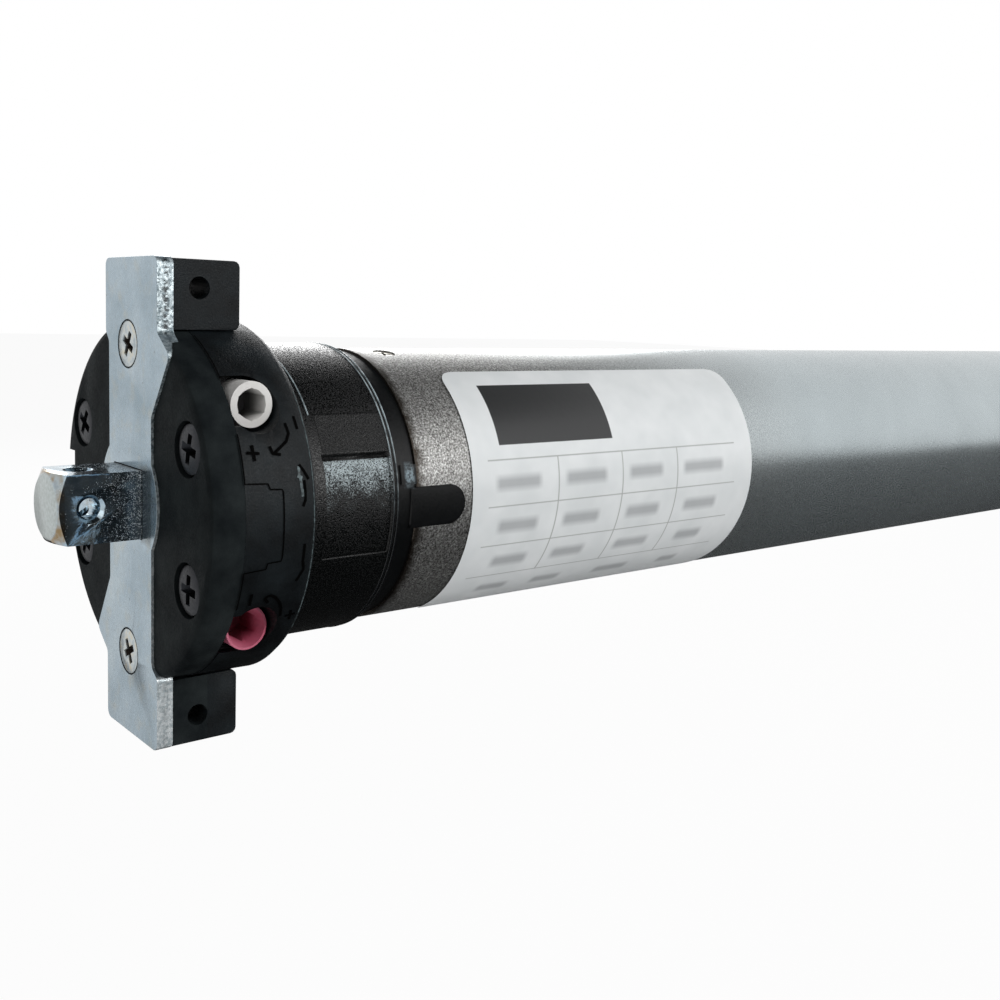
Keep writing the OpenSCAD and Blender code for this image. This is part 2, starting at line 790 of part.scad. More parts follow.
// The tongue that keys the housing into the notch of the tube, on the near side
key_w = 6.4;
key_len = 9.4;
key_angle = -1.7;
collar_bump_angle = 11.5;
module tube_tongue(gap) {
    rotate([-key_angle, 0, 0])
    intersection() {
        xring(tube_r - 0.02, bore_r - seat - 0.2, tube_x - 1, tube_x + key_len);
        union() {
            box(tube_x - 1, tube_x + key_len - key_w / 2, -2 * tube_r, 0, -key_w / 2 + gap, key_w / 2 - gap);
            ycyl(key_w / 2 - gap, tube_x + key_len - key_w / 2, 0, -2 * tube_r, 0);
        }
    }
}

module housing_screws() {
    color(STEEL)
    housing_screw_places() difference() {
        union() {
            xcyl(screw_d / 2, neck_front_x - 4, neck_front_x + 4.6);
            xcyl(housing_screw_head_d / 2, neck_front_x - wall - 2, neck_front_x - wall);
        }
        cross_recess(neck_front_x - wall - 2, screw_d * 1.1);
    }
}

module threaded_rod() {
    at_yz(rod_y, rod_z) {
        xcyl(journal_d / 2, neck_front_x, housing_end_x - 0.5);
        xprism(crown_gear_x, crown_gear_x + crown_gear_w)
            rotate(rod_angle * (1 - crown_teeth / rod_teeth)) gear(rod_teeth, crown_module);
        xcyl(rod_d / 2, crown_gear_x + crown_gear_w, housing_end_x - end_plate_t - end_play);
    }
}

module white_threaded_rod() {
    color(BRASS) threaded_rod();
}

module red_threaded_rod() {
    color(BRASS) red_side() threaded_rod();
}

long_x = tube_x - 1;
long_end_x = housing_end_x - end_plate_t - 2;

// Direction from the long pinion to the nut, which sets how their teeth meet
nut_angle = atan2(rod_z - setting_z, rod_y - setting_y);

module setting_shaft() {
    at_yz(setting_y, setting_z) {
        xcyl(journal_d / 2, part_x - 1.4, housing_end_x - 0.5);
        xprism(adjuster_x - wheel_w / 2, adjuster_x + wheel_w / 2)
            rotate(90) polygon(gear_outline(wheel_teeth, adjust_module, 0.4, 0.55, 0.3));
        xprism(long_x, long_end_x) rotate(nut_angle) gear(long_teeth, adjust_module);
    }
}

module white_setting_shaft() {
    color("#e4e2e0") setting_shaft();
}

module red_setting_shaft() {
    color("#d8728f") red_side() setting_shaft();
}

module limit_nut() {
    at_yz(rod_y, rod_z) difference() {
        xprism(nut_x, nut_x + nut_w)
            rotate(nut_angle + 180 + 180 / nut_teeth) gear(nut_teeth, adjust_module);
        xcyl(rod_d / 2 + running, nut_x - 1, nut_x + nut_w + 1);
    }
}

module white_limit_nut() {
    color("#e4e2e0") limit_nut();
}

module red_limit_nut() {
    color("#d8728f") red_side() limit_nut();
}

// Striker: a fork that the nut carries along, with a finger for its switch
module striker(finger_at_rear) {
    y0 = rod_y - 3;
    y1 = rod_y + 3;
    fx = finger_at_rear ? striker_x + striker_len - cheek_t : striker_x;
    difference() {
        union() {
            box(striker_x, striker_x + striker_len, y0, y1, bridge_z, bridge_z + cheek_t);
            for (x = [striker_x, striker_x + striker_len - cheek_t])
                box(x, x + cheek_t, y0, y1, bridge_z, rod_z + 3);
            box(fx, fx + cheek_t, y0, finger_y, finger_z, finger_top_z);
        }
        at_yz(rod_y, rod_z) xcyl(rod_d / 2 + 2 * running, striker_x - 1, striker_x + striker_len + 1);
    }
}

module white_striker() {
    color("#e4e2e0") striker(true);
}

module red_striker() {
    color("#d8728f") red_side() striker(false);
}

plunger_y = finger_y - 1.2;
plunger_z = finger_z + 1.5;

module switch_body(x) {
    box(x, x + switch_len, switch_y, switch_y + switch_w, shelf_t / 2, shelf_t / 2 + switch_h);
    for (k = [0.2, 0.5, 0.8])
        box(x + k * switch_len - 0.4, x + k * switch_len + 0.4, switch_y + switch_w - eps,
            switch_y + switch_w + 2.4, 2, 2.6);
}

module limit_switches() {
    color("#2a2a2c") {
        difference() {
            switch_body(white_switch_x);
            at_yz(plunger_y, plunger_z)
                xcyl(plunger_r + running, white_switch_x - 1, white_switch_x + plunger_len);
        }
        red_side() difference() {
            switch_body(red_switch_x);
            at_yz(plunger_y, plunger_z)
                xcyl(plunger_r + running, red_switch_x + switch_len - plunger_len,
                     red_switch_x + switch_len + 1);
        }
    }
}

module white_plunger() {
    color("#c9463d") at_yz(plunger_y, plunger_z)
        xcyl(plunger_r, white_switch_x - plunger_out, white_switch_x - plunger_out + plunger_len);
}

module red_plunger() {
    color("#c9463d") red_side() at_yz(plunger_y, plunger_z)
        xcyl(plunger_r, red_switch_x + switch_len + plunger_out - plunger_len,
             red_switch_x + switch_len + plunger_out);
}

module limit_end_plate() {
    color(BLACK)
    difference() {
        union() {
            xcyl(housing_bore_r - seat, housing_end_x - end_plate_t, housing_end_x);
            xring(fit_r, housing_bore_r - seat - 1, housing_end_x, housing_end_x + 1.2);
        }
        for (s = [-1, 1]) {
            at_yz(rod_y, s * rod_z) xcyl(journal_d / 2 + running, 0, housing_end_x - 0.3);
            at_yz(setting_y, s * setting_z) xcyl(journal_d / 2 + running, 0, housing_end_x - 0.3);
        }
        translate([0, 10, 0]) xcyl(3.5, 0, housing_end_x + 9);
    }
}

// Screws through the tube: two into the limit housing, two into the end cap
tube_screw_front_x = tube_x + 5.6;
tube_screw_rear_x = tube_end_x - 7;
tube_screw_len = tube_r - housing_bore_r - 0.4;
module tube_screw_places() {
    for (x = [tube_screw_front_x, tube_screw_rear_x], a = [78, 258])
        translate([x, 0, 0]) rotate([-a, 0, 0]) translate([0, -tube_r, 0]) rotate([-90, 0, 0])
            children();
}

module tube_screw_bores(gap) {
    tube_screw_places() translate([0, 0, -1]) cylinder(d = tube_screw_d + 2 * gap, h = 6.4);
}

module motor_tube() {
    color("#8c8986")
    difference() {
        xring(tube_r, bore_r, tube_x, tube_end_x);
        rotate([-key_angle, 0, 0]) {
            box(tube_x - 1, tube_x + key_len - key_w / 2, -2 * tube_r, 0, -key_w / 2, key_w / 2);
            ycyl(key_w / 2 + eps, tube_x + key_len - key_w / 2, 0, -2 * tube_r, 0);
        }
        tube_screw_bores(seat);
    }
}

module tube_screws() {
    color(STEEL)
    tube_screw_places() difference() {
        translate([0, 0, 0.25]) cylinder(d = tube_screw_d, h = tube_screw_len);
        for (a = [0, 90]) rotate(a + 20)
            translate([-tube_screw_d * 0.32, -0.25, 0]) cube([tube_screw_d * 0.64, 0.5, 1.2]);
    }
}

label_start_x = tube_x + label_x;
label_mid_angle = 58 - label_angle / 2;
label_gap = 0.05;
module rating_label() {
    half = label_angle / 2;
    color("#f2f2f0")
    intersection() {
        xring(tube_r + label_gap + label_t, tube_r + label_gap, label_start_x, label_start_x + label_len);
        rotate([90 - label_mid_angle, 0, 0]) rotate([0, 90, 0])
            linear_extrude(2 * tube_len)
                polygon([
                    [0, 0],
                    for (k = [0 : 8])
                        let (a = -half + k * label_angle / 8)
                        -2 * tube_r * [cos(a), sin(a)]
                ]);
    }
}

module run_capacitor() {
    r = capacitor_d / 2;
    x1 = cap_x + capacitor_len;
    color("#cfd3d6")
    union() {
        xturned([[cap_x, 0], [cap_x, r - 1], [cap_x + 1, r], [x1 - 1, r], [x1, r - 1], [x1, 0]]);
        for (s = [-1, 1])
            translate([0, s * 4, 0]) xcyl(1.2, cap_x - 2.4, cap_x + 1);
    }
}

module capacitor_holder() {
    r = capacitor_d / 2 + seat;
    x1 = cap_x + capacitor_len;
    color(BLACK)
    union() {
        for (x = [cap_x + 4, x1 - 12]) xring(fit_r, r, x, x + 8);
        for (a = [60 : 120 : 300])
            rotate([a, 0, 0]) box(cap_x + 4, x1 - 4, -1.5, 1.5, r + 0.2, fit_r - 0.3);
    }
}

module end_shield(x, bearing_at_front) {
    bx = bearing_at_front ? x - 1 : x + shield_t - bearing_w;
    difference() {
        xcyl(fit_r, x, x + shield_t);
        xcyl(rotor_shaft_d / 2 + 1, x - 1, x + shield_t + 1);
        xcyl(bearing_od / 2, bx, bx + bearing_w + (bearing_at_front ? 1 : 1));
        for (a = [0 : 60 : 300])
            rotate([a, 0, 0]) translate([0, 0, 14]) xcyl(2.2, x - 1, x + shield_t + 1);
    }
}

module front_end_shield() {
    color("#b9bcbf") end_shield(front_shield_x, true);
}

module rear_end_shield() {
    color("#b9bcbf") end_shield(rear_shield_x, false);
}

module rotor_bearings() {
    color("#9fa4a8")
    for (x = [front_shield_x, rear_shield_x + shield_t - bearing_w])
        difference() {
            xcyl(bearing_od / 2, x, x + bearing_w);
            xcyl(rotor_shaft_d / 2 + running, x - 1, x + bearing_w + 1);
        }
}

module slot_shape(grow) {
    for (k = [0 : slots - 1])
        rotate(360 * k / slots) polygon([
            [stator_bore_d / 2 + 1.2 - grow, -1 - grow], [bore_r - 4 + grow, -2.4 - grow],
            [bore_r - 4 + grow, 2.4 + grow], [stator_bore_d / 2 + 1.2 - grow, 1 + grow]
        ]);
}

module stator_core() {
    color("#7d8084")
    difference() {
        xcyl(fit_r, stator_x, stator_x + stator_len);
        xcyl(stator_bore_d / 2, stator_x - 1, stator_x + stator_len + 1);
        xprism(stator_x - 1, stator_x + stator_len + 1) slot_shape(0.05);
    }
}

module stator_windings() {
    color("#b4652a")
    union() {
        xprism(stator_x - 1, stator_x + stator_len + 1) slot_shape(-0.05);
        for (x = [stator_x - winding_len, stator_x + stator_len + 0.5])
            xring(bore_r - 2, stator_bore_d / 2 + 1, x, x + winding_len - 0.5);
    }
}

module rotor_core() {
    r = stator_bore_d / 2 - air_gap;
    color("#8f9296")
    difference() {
        xcyl(r, stator_x - 2, stator_x + stator_len + 2);
        xcyl(rotor_shaft_d / 2, stator_x - 3, stator_x + stator_len + 3);
    }
}

module rotor_shaft() {
    color("#aeb2b5")
    union() {
        xcyl(rotor_shaft_d / 2, front_shield_x - 2, stage_1_x - 3);
        xcyl(gear_module * sun_teeth / 2 - 1.05 * gear_module, stage_1_x - 4, stage_1_x + stage_1_w);
        xprism(stage_1_x - 3, stage_1_x + stage_1_w) gear(sun_teeth, gear_module);
    }
}

module brake_disc() {
    color("#8a5a35")
    difference() {
        union() {
            xcyl(brake_disc_r, brake_x, brake_x + brake_disc_t);
            xcyl(brake_hub_r, brake_x - 2, brake_x);
        }
        xcyl(rotor_shaft_d / 2, brake_x - 3, brake_x + brake_disc_t + 1);
    }
}

brake_pin_r = 17.5;
module brake_pin_places() {
    for (a = [30 : 120 : 270])
        rotate([a, 0, 0]) translate([0, 0, brake_pin_r]) children();
}

module brake_armature() {
    color("#6f7377")
    difference() {
        xcyl(bore_r - 1, armature_x, armature_x + armature_t);
        xcyl(rotor_shaft_d / 2 + 1.5, armature_x - 1, armature_x + armature_t + 1);
        brake_pin_places() xcyl(1.5 + running, armature_x - 1, armature_x + armature_t + 1);
    }
}

module brake_spring() {
    x0 = magnet_x - spring_h;
    color("#b7bcc0")
    xturned([
        [x0, brake_hub_r], [x0 + 0.6, brake_hub_r], [magnet_x, brake_disc_r - 3.6],
        [magnet_x, brake_disc_r - 3], [magnet_x - 0.6, brake_disc_r - 3]
    ]);
}

module brake_magnet() {
    color("#a2502a")
    difference() {
        union() {
            xcyl(fit_r, magnet_x, magnet_x + magnet_len);
            brake_pin_places() xcyl(1.5, armature_x - 1.5, magnet_x + 1);
        }
        xcyl(rotor_shaft_d / 2 + 1.5, magnet_x - 1, magnet_x + magnet_len + 1);
    }
}

module ring_gear() {
    color("#75797c")
    difference() {
        xcyl(fit_r, ring_x, ring_end_x);
        xprism(ring_x + 5, ring_end_x + 1)
            rotate(180 / ring_teeth * 0) gear_hole(ring_teeth, gear_module);
        xcyl(rotor_shaft_d / 2 + 1.5, ring_x - 1, ring_end_x);
    }
}

// A carrier plate with the next stage's sun gear behind it
module carrier(stage) {
    x = carrier_x[stage];
    difference() {
        xcyl(carrier_r, x, x + carrier_t);
        for (k = [0 : 2])
            rotate([120 * k, 0, 0]) translate([0, gear_dist, 0])
                xcyl(planet_pin_d / 2, x - 1, x + carrier_t + 1);
    }
}

module carrier_with_sun(stage) {
    x1 = carrier_x[stage] + carrier_t;
    union() {
        carrier(stage);
        xprism(x1 - eps, stage_x[stage + 1] + stage_w[stage + 1]) gear(sun_teeth, gear_module);
    }
}

module carrier_1() {
    color("#a8a49c") carrier_with_sun(0);
}

module carrier_2() {
    color("#a8a49c") carrier_with_sun(1);
}

module output_shaft() {
    x1 = carrier_3_x + carrier_t;
    color("#9aa0a4")
    difference() {
        union() {
            carrier(2);
            xcyl(output_d / 2, x1 - eps, tube_end_x + cap_flange + 3);
            intersection() {
                xcyl(output_d / 2, tube_end_x + cap_flange + 2, output_end_x);
                box(tube_end_x, output_end_x + 1, -output_d, output_d, -output_af / 2, output_af / 2);
            }
        }
        xring(output_d, output_d / 2 - 1.2, circlip_x, circlip_x + circlip_t);
        xcyl(2.1, output_end_x - 14, output_end_x + 1);
    }
}

module planet_pins(stage) {
    x = stage_x[stage];
    color("#c2c6c9")
    for (k = [0 : 2])
        rotate([120 * k, 0, 0]) translate([0, gear_dist, 0])
            xcyl(planet_pin_d / 2, x - 0.4, carrier_x[stage] + carrier_t);
}

module planet_pins_1() {
    planet_pins(0);
}

module planet_pins_2() {
    planet_pins(1);
}

module planet_pins_3() {
    planet_pins(2);
}

module planet(stage, k) {
    x = stage_x[stage];
    color("#d9d5c8")
    rotate([120 * k, 0, 0]) translate([0, gear_dist, 0]) difference() {
        xprism(x, x + stage_w[stage]) gear(planet_teeth, gear_module);
        xcyl(planet_pin_d / 2 + running, x - 1, x + stage_w[stage] + 1);
    }
}

module output_bearing() {
    color(BRASS)
    difference() {
        xcyl(bush_r, cap_front_x + 6, tube_end_x + cap_flange);
        xcyl(output_d / 2 + running, cap_front_x, tube_end_x + cap_flange + 1);
    }
}

module end_cap() {
    color(BLACK)
    difference() {
        union() {
            xcyl(fit_r, cap_front_x, tube_end_x + eps);
            xturned([
                [tube_end_x, 0], [tube_end_x, tube_r - 0.3],
                [tube_end_x + cap_flange - 1, tube_r - 0.3],
                [tube_end_x + cap_flange, tube_r - 1.3], [tube_end_x + cap_flange, 0]
            ]);
        }
        xcyl(bush_r, cap_front_x - 1, tube_end_x + cap_flange + 1);
        difference() {
            xring(fit_r - 2.4, bush_r + 2, cap_front_x - 1, tube_end_x - 12);
            for (a = [0 : 60 : 300])
                rotate([a, 0, 0]) box(0, tube_end_x, -1, 1, 0, fit_r);
        }
        tube_screw_bores(0);
    }
}

module shaft_circlip() {
    color("#3a3c3e")
    difference() {
        xcyl(output_d / 2 + 2, circlip_x + 0.1, circlip_x + circlip_t - 0.1);
        xcyl(output_d / 2 - 1.1, circlip_x - 1, circlip_x + circlip_t + 1);
        box(circlip_x - 1, circlip_x + circlip_t + 1, -2.5, 2.5, 0, 2 * output_d);
    }
}

mounting_plate();
square_pin();
plate_screws();
head_cover();
head_body();
cover_screws();
cable_socket();
white_adjuster();
red_adjuster();
crown_ring();
limit_housing();
housing_screws();
white_threaded_rod();
red_threaded_rod();
white_setting_shaft();
red_setting_shaft();
white_limit_nut();
red_limit_nut();
white_striker();
red_striker();
limit_switches();
white_plunger();
red_plunger();
limit_end_plate();
motor_tube();
rating_label();
tube_screws();
run_capacitor();
capacitor_holder();
front_end_shield();
stator_core();
stator_windings();
rear_end_shield();
rotor_bearings();
rotor_core();
rotor_shaft();
brake_disc();
brake_armature();
brake_spring();
brake_magnet();
ring_gear();
carrier_1();
carrier_2();
output_shaft();
planet_pins_1();
planet_pins_2();
planet_pins_3();
planet(0, 0);  // planet_1a
planet(0, 1);  // planet_1b
planet(0, 2);  // planet_1c
planet(1, 0);  // planet_2a
planet(1, 1);  // planet_2b
planet(1, 2);  // planet_2c
planet(2, 0);  // planet_3a
planet(2, 1);  // planet_3b
planet(2, 2);  // planet_3c
output_bearing();
end_cap();
shaft_circlip();
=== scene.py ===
# %% [markdown]
# # Dressing a tubular blind motor
# The motor was built in CAD as separate pieces. This script gives each of them the surface that the
# real one has, adds the small things that a CAD solid leaves out, and sets up light and camera.
# It is meant to be read from top to bottom, one cell at a time.

# %% Load the frame
import json
import math

import bmesh
import bpy
from mathutils import Matrix, Vector


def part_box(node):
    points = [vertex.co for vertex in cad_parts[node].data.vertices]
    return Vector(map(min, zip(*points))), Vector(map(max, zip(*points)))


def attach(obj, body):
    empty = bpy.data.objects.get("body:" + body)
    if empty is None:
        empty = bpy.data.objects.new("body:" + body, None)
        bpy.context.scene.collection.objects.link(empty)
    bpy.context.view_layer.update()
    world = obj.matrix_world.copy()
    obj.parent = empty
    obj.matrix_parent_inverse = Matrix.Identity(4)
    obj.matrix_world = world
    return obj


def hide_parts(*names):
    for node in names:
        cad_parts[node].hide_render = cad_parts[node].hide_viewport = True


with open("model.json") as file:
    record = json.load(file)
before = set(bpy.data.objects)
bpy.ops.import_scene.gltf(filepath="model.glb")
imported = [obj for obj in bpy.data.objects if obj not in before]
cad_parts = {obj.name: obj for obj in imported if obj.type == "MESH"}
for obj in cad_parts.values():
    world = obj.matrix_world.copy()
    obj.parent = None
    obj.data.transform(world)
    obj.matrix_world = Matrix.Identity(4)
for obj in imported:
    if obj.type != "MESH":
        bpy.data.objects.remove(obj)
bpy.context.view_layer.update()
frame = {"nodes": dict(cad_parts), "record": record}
MM = 0.001

# %% [markdown]
# ## The camera
# The photograph was taken close to the head with a short lens, so the tube shrinks quickly with
# distance. Camera place, direction and focal length were solved from points of known size. The
# lens shift moves the picture sideways and down without turning the camera. The Standard view shows
# a colour on screen as it is written in a material.

# %% Camera
SENSOR_MM = 36
FOCAL_LENGTH = 1.13119  # in sensor widths
CAMERA_PLACE = (-0.06541, -0.15772, 0.02915)
azimuth, elevation, roll = (math.radians(a) for a in (-37.66, 7.125, 1.738))


def put(name, data):
    """A new object in the scene."""
    thing = bpy.data.objects.new(name, data)
    bpy.context.scene.collection.objects.link(thing)
    return thing


backward = Vector((math.sin(azimuth) * math.cos(elevation), -math.cos(azimuth) * math.cos(elevation),
                   math.sin(elevation)))
level_right = Vector((math.cos(azimuth), math.sin(azimuth), 0))
level_up = backward.cross(level_right)
right = math.cos(roll) * level_right + math.sin(roll) * level_up
up = backward.cross(right)

lens = bpy.data.cameras.new("camera")
lens.sensor_width = SENSOR_MM
lens.lens = SENSOR_MM * FOCAL_LENGTH
lens.shift_x = 0.06874
lens.shift_y = -0.04825
lens.clip_start = 0.005
camera = put("camera", lens)
camera.matrix_world = (Matrix.Translation(CAMERA_PLACE)
                       @ Matrix((right, up, backward)).transposed().to_4x4())
bpy.context.scene.camera = camera
bpy.context.scene.view_settings.view_transform = "Standard"
print("camera looks along", [round(-v, 3) for v in backward])

# %% [markdown]
# ## Colour and node helpers
# Colours are picked as sRGB hex values, but the renderer counts in linear light, so one function
# converts them. A second function adds a shader node, sets its properties and links its inputs.

# %% Helpers for materials


def linear(hex_code):
    channels = [int(hex_code[i:i + 2], 16) / 255 for i in (1, 3, 5)]
    return [c / 12.92 if c <= 0.04045 else ((c + 0.055) / 1.055) ** 2.4 for c in channels] + [1]


def fill(tree, node, inputs):
    """Links an input to what is a socket, and sets it to what is a plain value."""
    for key, value in inputs.items():
        if isinstance(value, bpy.types.NodeSocket):
            tree.links.new(value, node.inputs[key])
        else:
            node.inputs[key].default_value = value


def add(tree, kind, inputs=None, **settings):
    new = tree.nodes.new(kind)
    for name, value in settings.items():
        setattr(new, name, value)
    fill(tree, new, inputs or {})
    return new


def new_material(name):
    material = bpy.data.materials.new(name)
    material.use_nodes = True
    tree = material.node_tree
    place = add(tree, "ShaderNodeTexCoord").outputs["Object"]
    return material, tree, tree.nodes["Principled BSDF"], place


def reopened(material):
    """The same for a material that exists, with its present colour."""
    tree = material.node_tree
    shader = tree.nodes["Principled BSDF"]
    plain = shader.inputs["Base Color"].links[0].from_socket
    return tree, shader, plain, add(tree, "ShaderNodeTexCoord").outputs["Object"]


# %% [markdown]
# A material is mostly arithmetic on where a point lies and which way it faces. These functions each
# stand for one node, so that the recipes below read like the sums they are.

# %% Sums, ranges and colours


def calc(tree, operation, one, other=0.0):
    return add(tree, "ShaderNodeMath", {0: one, 1: other}, operation=operation).outputs[0]


def times(tree, first, *others):
    for other in others:
        first = calc(tree, "MULTIPLY", first, other)
    return first


def plus(tree, first, *others):
    for other in others:
        first = calc(tree, "ADD", first, other)
    return first


def remap(tree, value, low, high, start=0.0, end=1.0):
    """low becomes start and high becomes end; beyond them the value stays."""
    return add(tree, "ShaderNodeMapRange", {"Value": value, "From Min": low, "From Max": high,
               "To Min": start, "To Max": end}).outputs[0]


def mask_between(tree, value, low, high, soft):
    rising = remap(tree, value, low - soft, low + soft)
    return times(tree, rising, remap(tree, value, high - soft, high + soft, 1.0, 0.0))


def split(tree, vector):
    return add(tree, "ShaderNodeSeparateXYZ", {"Vector": vector}).outputs


def facing(tree):
    return split(tree, add(tree, "ShaderNodeNewGeometry").outputs["Normal"])


def ramp(tree, fac, stops):
    new = add(tree, "ShaderNodeValToRGB", {"Fac": fac})
    while len(new.color_ramp.elements) < len(stops):
        new.color_ramp.elements.new(0.5)
    for element, (position, colour) in zip(new.color_ramp.elements, stops):
        element.position = position
        element.color = linear(colour) if isinstance(colour, str) else (colour, colour, colour, 1)
    return new.outputs["Color"]


def mix(tree, fac, one, other):
    one, other = (c if isinstance(c, bpy.types.NodeSocket) else linear(c) for c in (one, other))
    # a Mix node has a set of sockets for each kind of value; 6 and 7 are the two colours
    return add(tree, "ShaderNodeMix", {0: fac, 6: one, 7: other}, data_type="RGBA").outputs[2]


# %% [markdown]
# ## Grain that has a size
# Moulded, blasted and zinc-plated surfaces all have a grain of a known width. A noise texture
# repeats about once per unit divided by its scale, so one over the grain width in metres is the
# scale to give it.

# %% A grain texture


def grain(tree, place, width_mm, detail=2.0, stretch=(1, 1, 1)):
    squeezed = add(tree, "ShaderNodeMapping", {"Vector": place, "Scale": stretch})
    return add(tree, "ShaderNodeTexNoise", {"Vector": squeezed.outputs["Vector"],
               "Scale": 1 / (width_mm * MM), "Detail": detail, "Roughness": 0.55}).outputs["Fac"]


def bump(tree, height, depth_mm, strength=1.0, normal=None):
    inputs = {"Height": height, "Distance": depth_mm * MM, "Strength": strength}
    if normal is not None:
        inputs["Normal"] = normal
    return add(tree, "ShaderNodeBump", inputs).outputs["Normal"]


# %% [markdown]
# ## Zinc-plated pressed steel
# The mounting plate is stamped from 2.5 mm sheet and zinc plated. Bright zinc with a blue
# passivation gives a pale blue-grey with a faint rolling grain, small dark pits, and a warmer tint
# where the plating is thin. The sheared edges are rougher and sparkle.

# %% Material: zinc-plated steel


def zinc_plate():
    material, tree, shader, place = new_material("zinc_plated_steel")
    axes = split(tree, place)
    edge = remap(tree, calc(tree, "ABSOLUTE", facing(tree)["Y"]), 0.5, 0.8)
    rolled = grain(tree, place, 0.7, 2, (1, 1, 0.5))
    clouds = ramp(tree, grain(tree, place, 11, 4),
                  [(0.3, "#8c9faa"), (0.5, "#a4b5c0"), (0.72, "#b5c3ca")])
    tinted = mix(tree, remap(tree, grain(tree, place, 3.2, 3), 0.52, 0.76, 0, 0.4), clouds, "#b9b19a")
    mottled = mix(tree, remap(tree, grain(tree, place, 0.6, 3), 0.35, 0.7, 0, 0.35), tinted, "#8d999f")
    pits = add(tree, "ShaderNodeTexVoronoi", {"Vector": place, "Scale": 1 / (2.6 * MM)})
    pitted = mix(tree, remap(tree, pits.outputs["Distance"], 0.03, 0.07, 0.8, 0), mottled, "#5f6669")
    # painted reflection: beside the pin, towards -Y, the face is painted dark and speckled where it
    # mirrors the pin's dark side
    painted_pin_reflection = times(tree, mask_between(tree, axes["Y"], -8.2 * MM, -4.6 * MM, 0.3 * MM),
                 mask_between(tree, axes["Z"], -5.4 * MM, 5.6 * MM, 0.5 * MM), 0.75)
    dotted = ramp(tree, grain(tree, place, 0.16, 1), [(0.5, "#4a5357"), (0.6, "#8d979b")])
    face = mix(tree, painted_pin_reflection, pitted, dotted)
    # sheared end: bright, with dark tears near the middle of its thickness, fewer at the lower end
    upper = remap(tree, axes["Z"], -5 * MM, 5 * MM, 0.25, 1)
    torn = times(tree, remap(tree, grain(tree, place, 0.75, 3, (1, 1, 1.9)), 0.56, 0.46),
                 mask_between(tree, axes["X"], 0.9 * MM, 1.7 * MM, 0.25 * MM), upper)
    hollow = mix(tree, upper, "#c3ced2", "#66747a")
    crest = mix(tree, upper, "#f0f5f7", "#c0ccd0")
    broken = mix(tree, remap(tree, grain(tree, place, 0.5, 2), 0.38, 0.62), hollow, crest)
    sheared = mix(tree, torn, broken, "#262d30")
    # pressing the pin in has burnished a square round it, which mirrors the pin
    near_pin = times(tree, *(mask_between(tree, axes[a], -6.4 * MM, 6.4 * MM, 0.8 * MM) for a in "YZ"))
    deep = times(tree, edge, grain(tree, place, 0.7, 2))
    fill(tree, shader, {
        "Base Color": mix(tree, edge, face, sheared),
        # a torn surface scatters light in every direction, which a lower metallic value stands for
        "Metallic": remap(tree, edge, 0, 1, 0.85, 0.3),
        "Roughness": plus(tree, remap(tree, rolled, 0.3, 0.7, 0.25, 0.3),
                          remap(tree, near_pin, 0, 1, 0, -0.19)),
        "Normal": bump(tree, deep, 0.12, 0.9, bump(tree, rolled, 0.006)),
    })
    return material


plate_zinc = zinc_plate()
print(plate_zinc.name, "has", len(plate_zinc.node_tree.nodes), "nodes")

# %% [markdown]
# The square pin is drawn bar, much smoother than the plate. It mirrors its surroundings, and the
# plating left bright specks where it met the bar's drawing marks.

# %% Material: bright drawn bar


def bright_bar():
    material, tree, shader, place = new_material("bright_drawn_bar")
    along = split(tree, place)["X"]
    # real specks are a twentieth of a millimetre; drawn at three times that so that they show
    crowd = plus(tree, remap(tree, along, -9 * MM, 0, -0.16, 0.07),
                 remap(tree, grain(tree, place, 1.3, 3), 0.3, 0.7, -0.07, 0.07))
    dotted = remap(tree, plus(tree, grain(tree, place, 0.15, 1), crowd), 0.61, 0.7)
    dulled = remap(tree, along, -4.5 * MM, -0.5 * MM)
    drawn = ramp(tree, grain(tree, place, 2.6, 3),
                 [(0.35, "#8ea3b2"), (0.5, "#a9bbc6"), (0.68, "#a3adb0")])
    # the turned point is plain, with a burnt band behind it
    point = remap(tree, along, -12.3 * MM, -12.1 * MM)
    burnt = times(tree, mask_between(tree, along, -12.2 * MM, -11.2 * MM, 0.15 * MM),
                  ramp(tree, grain(tree, place, 2.2, 2), [(0.4, 0.3), (0.6, 0.95)]))
    tip = mix(tree, remap(tree, grain(tree, place, 0.5, 3), 0.35, 0.7), "#a9b0ae", "#bcc3c3")
    bar = mix(tree, burnt, mix(tree, dulled, drawn, "#59636a"), "#8a7452")
    # the top face lies nearly edge-on to the camera, where waves would tear the mirror image
    calm = remap(tree, facing(tree)["Z"], 0.2, 0.7, 1, 0.1)
    waves = times(tree, grain(tree, place, 2.4, 3), calm)
    fill(tree, shader, {
        "Base Color": mix(tree, dotted, mix(tree, point, tip, bar), "#e9eff2"),
        "Metallic": 1.0,
        "Roughness": plus(tree, remap(tree, dotted, 0, 1, 0.13, 0.75), times(tree, dulled, 0.16),
                          remap(tree, point, 0, 1, 0.25, 0)),
        "Normal": bump(tree, dotted, 0.05, 0.9, bump(tree, waves, 0.09, 0.7)),
    })
    return material


pin_zinc = bright_bar()
print(pin_zinc.name, "has", len(pin_zinc.node_tree.nodes), "nodes")

# %% [markdown]
# ## Glass-filled nylon
# The head is injection moulded in black nylon from spark-eroded tools. That leaves an even fine
# grain, a soft sheen, and slightly paler handled areas. The same recipe with other numbers gives the
# front cover, the smoother collar, the acetal adjusters and the inner plastics.

# %% Material: moulded plastic, in several grains
NYLON_IOR = 1.53
GRAIN_SPREAD = 0.08  # how far the grain moves the roughness up and down


